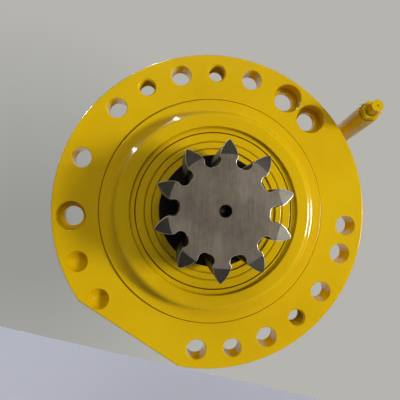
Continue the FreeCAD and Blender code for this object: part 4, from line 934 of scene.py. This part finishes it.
# %% Drain pipe and its plug
drain_mouth = at(237.3, 34.5, -36)
drain_start, drain_corner = at(128, DRAIN_ANGLE, PIPES_PLACE), at(234.6, DRAIN_ANGLE, PIPES_PLACE)
drain_path = bent_path(drain_start, drain_corner, drain_mouth, 34 * MM)
finished("drain_elbow", tube(drain_path, 13.5, 10), "case", [PAINT], ["drain_pipe"])
drain_way = drain_path[-1][1]
head = hexagon(14.5, 7, 17, 0)
head_turn = turned([(0, 6), (9, 6), (9, 22.6), (7.4, 24), (1.6, 24), (1, 23.2), (0, 23)], 48)
head = cut_by(head, head_turn, operation="INTERSECT")
collar_nut = hexagon(23, 0, 8, 0)
collar_turn = turned([(0, -1), (12.4, 0, 0.4), (13.6, 1.6), (13.6, 6.4), (12, 8), (0, 8.5)], 64)
collar_nut = cut_by(collar_nut, collar_turn, operation="INTERSECT")
stem = turned([(0, -14), (9, -14, 0.6), (10, -13), (10, 0.5), (0, 0.5)], 40)
plug = aimed(gathered(collar_nut, head, stem), drain_mouth, drain_way)
finished("drain_cap", plug, "case", [PAINT], ["drain_plug"])

# %% Gauge pipe
GAUGE_CIRCLE, GAUGE_END = 186, 430
gauge_start, gauge_corner, gauge_mouth = (
    at(128, GAUGE_ANGLE, PIPES_PLACE), at(GAUGE_CIRCLE, GAUGE_ANGLE, PIPES_PLACE),
    at(GAUGE_CIRCLE, GAUGE_ANGLE, GAUGE_END),
)
gauge_path = bent_path(gauge_start, gauge_corner, gauge_mouth, 30 * MM)
gauge = tube(gauge_path, 9, 6, 40, 0.6)
finished("gauge_tube", gauge, "case", [ZINC_STEEL], ["gauge_pipe"])

# %% [markdown]
# ## The motor case
# It is a turned pot with a mounting flange, and four lugs at its rear corners take the cover's
# screws. The lugs could stay loose cylinders, but a Boolean union melts them into the pot, as the
# pattern maker would. Holes are cut last.

# %% Motor case
MOTOR_START, MOTOR_FLANGE_END, MOTOR_END, COVER_END = 318, 342, 480, 554
MOTOR_RADIUS = 114
BREATHER_ANGLE, BREATHER_CIRCLE = 90, 135
CORNERS = ((1, 1), (-1, 1), (-1, -1), (1, -1))
LUGS = [(84 * across, 84 * up) for across, up in CORNERS]


def beside(mesh, x, z, place=0.0):
    """Carries a mesh made on the axis to a place across and above it."""
    bmesh.ops.translate(mesh, verts=mesh.verts, vec=Vector((x, place, z)) * MM)
    return mesh


pot = turned(
    [
        (36, MOTOR_START), (RIM_RADIUS, MOTOR_START, 1), (RIM_RADIUS, MOTOR_FLANGE_END, 2.5),
        (MOTOR_RADIUS, MOTOR_FLANGE_END, 10), (MOTOR_RADIUS, MOTOR_END, 0.6), (100, MOTOR_END),
        (100, 428), (94, 428), (94, 362), (46, 362), (46, 341.7), (34, 341.7), (34, 333), (36, 333),
    ], 240,
)
lug_shape = [(0, 446), (18, 446, 3), (18, MOTOR_END, 0.6), (0, MOTOR_END)]
lugs = [beside(turned(lug_shape, 72), x, z) for x, z in LUGS]
pot = cut_by(pot, *lugs, operation="UNION")
flange_thickness = MOTOR_FLANGE_END - MOTOR_START
cutters = [
    moved(drill(9, flange_thickness, 0.7, 40), angle, SCREW_CIRCLE, MOTOR_START)
    for angle in SCREW_ANGLES
]
cutters += [beside(turned([(0, 454), (8, 454), (8, 486), (0, 486)], 40), x, z) for x, z in LUGS]
vent_hole = turned([(0, 330), (6, 330), (6, 341.4), (11.6, 347), (0, 347)], 32)
cutters.append(moved(vent_hole, BREATHER_ANGLE, BREATHER_CIRCLE))
pot = cut_by(pot, *cutters)
finished("motor_pot", pot, "case", [PAINT_ON_CASTING], ["motor_case"])

# %% [markdown]
# ## The valve cover
# A square block with rounded corners, which closes the motor and carries its oil ports. A scaled
# cube with a bevel would round every edge alike. One outline, extruded, keeps the corners wide and
# the end edges small. Ports, threads, screw holes and side bores flare where they leave the block.

# %% Valve cover
COVER_MIDDLE, COVER_DEPTH = (MOTOR_END + COVER_END) / 2, COVER_END - MOTOR_END
HALF_COVER = 100
PORT_ACROSS, PORT_UP = 44, 30
VALVE_UP = -42
cover_shape = [
    (HALF_COVER * across, HALF_COVER * up, 24) for across, up in CORNERS[-1:] + CORNERS[:-1]
]
block = prism(rounded(cover_shape, 12), MOTOR_END, COVER_DEPTH, 2.5, 3)


def on_side(mesh, side):
    """Carries a mesh made along Y to the relief valve's place on one side of the cover."""
    seat = Vector((HALF_COVER * side, COVER_MIDDLE, VALVE_UP)) * MM
    return aimed(mesh, seat, Vector((side, 0, 0)))


def on_top(mesh, side):
    """Carries a mesh made along Y to the plug's place on top of the cover."""
    seat = Vector((PORT_ACROSS * side, COVER_MIDDLE, HALF_COVER)) * MM
    return aimed(mesh, seat, Vector((0, 0, 1)))


cutters = [beside(drill(9, COVER_DEPTH, 0.8, 40), x, z, MOTOR_END) for x, z in LUGS]
cutters.append(turned([(0, 470), (45, 470), (45, 499), (0, 499)], 96))
for side in (1, -1):
    port = turned([(0, -40), (12.5, -40), (12.5, -2.5), (14, -1), (19, 5), (0, 5)], 56)
    cutters.append(beside(port, PORT_ACROSS * side, PORT_UP, COVER_END))
    for across, up in CORNERS:
        thread = turned([(0, -18), (4.25, -16), (4.25, -0.8), (9, 4), (0, 4)], 24)
        x, z = PORT_ACROSS * side + 11.1 * across, PORT_UP + 23.8 * up
        cutters.append(beside(thread, x, z, COVER_END))
    valve_bore = turned([(0, -30), (15, -30), (15, -0.8), (21, 5), (0, 5)], 48)
    plug_bore = turned([(0, -14), (10, -14), (10, -0.8), (16, 5), (0, 5)], 40)
    cutters += [on_side(valve_bore, side), on_top(plug_bore, side)]
block = cut_by(block, *cutters)
finished("valve_block", block, "case", [PAINT_ON_CASTING], ["valve_cover"])

# %% [markdown]
# ## Screws, valves and plugs
# A socket screw is a turned shank with a rounded head and a hexagonal recess cut into it. Its
# thread is inside the metal, so none is modelled. One function makes both lengths. The relief
# valves and the port plugs are a hexagon on a turned body.

# %% Screws
SCREW_RADIUS = 8


def socket_screw(radius, under_head, length):
    """A socket head screw along +Y, its head on the place under_head."""
    head, tall = radius * 1.5, radius * 2
    start = under_head - length
    blank = turned(
        [
            (0, start), (radius - 1, start), (radius, start + 1), (radius, under_head, 0.5),
            (head, under_head, 0.4), (head, under_head + tall, 1.2), (0, under_head + tall),
        ], 40, 3,
    )
    recess = hexagon(radius * 1.7, under_head + tall - radius, radius + 3, 0)
    return cut_by(blank, recess)


case_screws = gathered(*(
    moved(socket_screw(SCREW_RADIUS, MOTOR_FLANGE_END, 178), angle, SCREW_CIRCLE)
    for angle in SCREW_ANGLES
))
finished("ring_screws", case_screws, "case", [BLACK_STEEL], ["case_bolts"])
cover_screws = gathered(*(
    beside(socket_screw(SCREW_RADIUS, COVER_END, 98), x, z) for x, z in LUGS
))
finished("cover_screws", cover_screws, "case", [BLACK_STEEL], ["cover_bolts"])

# %% Valves and plugs
valves, plugs = [], []
for side in (1, -1):
    valve = gathered(
        turned([(0, -30), (14.2, -30), (15, -29), (15, 0), (15, 0.5), (0, 0.5)], 48),
        hexagon(38, 0, 17, 1.4),
        turned([(0, 16), (11.25, 16), (11.25, 34, 1.5), (0, 34)], 40),
    )
    valves.append(on_side(valve, side))
    plug_body = turned([(0, -14), (10, -14, 0.8), (10, 0.5), (0, 0.5)], 40)
    plugs.append(on_top(gathered(plug_body, hexagon(26, 0, 9, 1)), side))
for name, meshes, node_name in (
    ("relief_cartridges", valves, "relief_valves"), ("cover_plugs", plugs, "port_plugs"),
):
    slot_name = SLOT_OF_NODE[node_name]
    finished(name, gathered(*meshes), "case", [FINISH_OF_SLOT[slot_name]], [node_name])

# %% [markdown]
# ## Brake spring
# A disc spring is a shallow cone of sheet steel that presses the brake shut. When oil lifts the
# brake's piston, the cone flattens. Here it is the cone at rest, with a mesh of its own. The piston
# would run into a rigid ring.

# %% Brake spring
SPRING_START, SPRING_END, SPRING_SHEET = 465.2, MOTOR_END, 2
cone = turned(
    [
        (99, SPRING_START, 0.5), (99, SPRING_START + SPRING_SHEET, 0.5), (80, SPRING_END, 0.5),
        (80, SPRING_END - SPRING_SHEET, 0.5),
    ], 128,
)
spring = finished(
    "disc_spring", cone, "case", [GEAR_STEEL], ["brake_spring"]
)
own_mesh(spring)

# %% [markdown]
# ## Dipstick, clamp and breather
# Small turned fittings. The dipstick's cap has a grip of shallow flutes. A bump could draw them,
# but the cap shows its outline, so a ring of rods cuts them. The clamp is an eye with a strap.

# %% Dipstick
stick = turned(
    [
        (0, 180), (3, 180, 1), (3, 418), (5.95, 418, 0.5), (5.95, GAUGE_END), (12, GAUGE_END, 0.8),
        (12, 444, 2), (0, 444),
    ], 60,
)
flute_shape = [(0, 433), (1.6, 433), (1.6, 460), (0, 460)]
flutes = [moved(turned(flute_shape, 16), 30 * step, 13) for step in range(12)]
stick = moved(cut_by(stick, *flutes), GAUGE_ANGLE, GAUGE_CIRCLE)
finished("dipstick_rod", stick, "dipstick", [ZINC_STEEL], ["dipstick"])

# %% Clamp and breather
eye = turned([(9, 317), (14, 317, 0.6), (14, 343, 0.6), (9, 343)], 48)
eye = moved(eye, 0, GAUGE_CIRCLE)
strap_shape = [(RIM_RADIUS, -2.5), (173, -2.5), (173, 2.5), (RIM_RADIUS, 2.5)]
strap = prism(strap_shape, 317, 26, 0.6)
clamp = swung(gathered(eye, strap), GAUGE_ANGLE)
finished("pipe_clamp", clamp, "case", [ZINC_STEEL], ["gauge_clamp"])

vent = turned(
    [(0, 336), (6, 336), (6, 356), (8, 358), (12, 358, 1), (12, 369, 3), (0, 369)], 48,
)
vent = moved(vent, BREATHER_ANGLE, BREATHER_CIRCLE)
finished("vent_cap", vent, "case", [ZINC_STEEL], ["breather"])

# %% [markdown]
# ## Floor and light
# The drive hangs in a workshop, in front of a pale wall, with a bluish white bench below. A wall
# could be built as a plane, but it would show an edge from other sides, so the world itself gives
# the wall's colour to the camera, a little darker round one heading. Reflections see a darker room
# behind the camera, which keeps the yellow deep. The bench is one flat plane whose far edge runs
# where the photograph shows it. A large window far off on the right throws the flange's long soft
# shadows, with a smaller one at the side. The soft fills in front and behind lift the shaded faces
# and stay out of reflections. Four narrow ceiling tubes do the opposite: they only glint.

# %% World
WALL = srgb(181, 180, 175)
WALL_SHADE = srgb(152, 152, 148)
DARK_ROOM = srgb(88, 88, 85)
WALL_SHADE_HEADING = (VIEW_AHEAD - VIEW_RIGHT * 0.42 - VIEW_TOP * 0.1).normalized()
world = bpy.data.worlds.new("workshop")
bpy.context.scene.world = world
world.use_nodes = True
sky = world.node_tree
sky.nodes.clear()
output = add_node(sky, "ShaderNodeOutputWorld")
rays = add_node(sky, "ShaderNodeLightPath").outputs
lit = add_node(sky, "ShaderNodeBackground", Color=srgb(222, 224, 228), Strength=0.08)
heading = add_node(sky, "ShaderNodeTexCoord")
away = add_node(sky, "ShaderNodeVectorMath", operation="DISTANCE")
away.inputs[1].default_value = WALL_SHADE_HEADING
sky.links.new(heading.outputs["Object"], away.inputs[0])
half_away = add_node(sky, "ShaderNodeMath", operation="DIVIDE")
half_away.inputs[1].default_value = 2.0
sky.links.new(away.outputs["Value"], half_away.inputs[0])
wall = ramp(sky, half_away.outputs[0], (0.04, WALL_SHADE), (0.25, WALL))
mirrored = ramp(sky, half_away.outputs[0], (0.3, WALL), (0.48, DARK_ROOM))
seen = add_node(sky, "ShaderNodeBackground", Strength=1.0)
choose = add_node(sky, "ShaderNodeMixShader")
direct = add_node(sky, "ShaderNodeMath", operation="MAXIMUM")
any_view = add_node(sky, "ShaderNodeMath", operation="MAXIMUM")
for source, target in (
    (mix_colours(sky, rays["Is Glossy Ray"], wall, mirrored), seen.inputs["Color"]),
    (rays["Is Glossy Ray"], direct.inputs[0]), (rays["Is Transmission Ray"], direct.inputs[1]),
    (direct.outputs[0], any_view.inputs[0]), (rays["Is Camera Ray"], any_view.inputs[1]),
    (any_view.outputs[0], choose.inputs[0]), (lit.outputs[0], choose.inputs[1]),
    (seen.outputs[0], choose.inputs[2]), (choose.outputs[0], output.inputs["Surface"]),
):
    sky.links.new(source, target)
print("wall is darkest towards", tuple(round(value, 3) for value in WALL_SHADE_HEADING))

# %% Bench
BENCH_HEIGHT, BENCH_LENGTH, BENCH_DEPTH = -0.6, 5, 3.2
BENCH_EDGE = (Vector((-0.93, 1.54, BENCH_HEIGHT)), Vector((0.48, 0.73, BENCH_HEIGHT)))
edge_way = (BENCH_EDGE[1] - BENCH_EDGE[0]).normalized()
nearer = Vector((edge_way.y, -edge_way.x, 0))
bench_middle = (BENCH_EDGE[0] + BENCH_EDGE[1]) / 2 + nearer * (BENCH_DEPTH / 2)
bench_turn = Matrix((edge_way, nearer, Vector((0, 0, 1)))).transposed().to_4x4()
bench_size = Matrix.Diagonal((BENCH_LENGTH, BENCH_DEPTH, 1, 1))
bench_mesh = bmesh.new()
bmesh.ops.create_grid(
    bench_mesh, x_segments=1, y_segments=1, size=0.5,
    matrix=Matrix.Translation(bench_middle) @ bench_turn @ bench_size,
)
bmesh.ops.recalc_face_normals(bench_mesh, faces=bench_mesh.faces)
bench = as_object(bench_mesh, "bench")
bench_paint, _, bench_shader = new_material("bench top")
bench_shader.inputs["Base Color"].default_value = srgb(208, 211, 228)
bench_shader.inputs["Roughness"].default_value = 0.7
bench.data.materials.append(bench_paint)
bench.visible_glossy = False
print("bench edge from", tuple(BENCH_EDGE[0]), "to", tuple(BENCH_EDGE[1]))

# %% Lamps
DAYLIGHT = (1.0, 0.99, 0.97)
TUBE_DISTANCE = 2400


def lamp(name, place, aim, size, power, colour=(1, 1, 1)):
    """A rectangular lamp at a place, turned towards its aim."""
    data = bpy.data.lights.new(name, "AREA")
    data.shape = "RECTANGLE"
    data.size, data.size_y = size
    data.energy = power
    data.color = colour
    lamp_object = bpy.data.objects.new(name, data)
    lamp_object.location = place
    lamp_object.rotation_mode = "QUATERNION"
    lamp_object.rotation_quaternion = (Vector(aim) - Vector(place)).to_track_quat("-Z", "Y")
    bpy.context.collection.objects.link(lamp_object)
    return lamp_object


lamp("window", (8.7, -7.5, -0.4), (0, 0, 0), (2.0, 2.6), 960, DAYLIGHT)
lamp("side window", (5.0, -1.1, 0.1), (0, 0, 0), (1.2, 1.6), 16, DAYLIGHT)
for name, place, size, power in (
    ("room", (-0.1, -2.35, 1.9), (2.4, 1.6), 34), ("bounce", (-0.4, -1.8, -1.2), (1.8, 0.8), 7),
    ("back", (0.9, 2.2, 1.6), (1.8, 1.2), 40), ("back low", (-1.3, 2.3, -0.9), (1.8, 1.2), 14),
):
    lamp(name, place, (0, 0.15, 0), size, power, DAYLIGHT).visible_glossy = False
lamp("bench light", (-1.7, 1.0, 0.9), (-0.7, 0.9, -0.6), (1.0, 1.0), 9)
for number, (angle, tilt) in enumerate(((108.7, 88), (108.7, 108), (141, 88), (141, 108))):
    lean_back = math.radians(tilt)
    up, ahead = TUBE_DISTANCE * math.sin(lean_back), -TUBE_DISTANCE * math.cos(lean_back)
    ceiling_tube = lamp(f"tube_{number}", at(up, angle, ahead), (0, 0, 0), (1.1, 0.05), 20)
    ceiling_tube.visible_diffuse = False
print("lamps:", len(bpy.data.lights))

# %% Finish
bpy.context.view_layer.update()
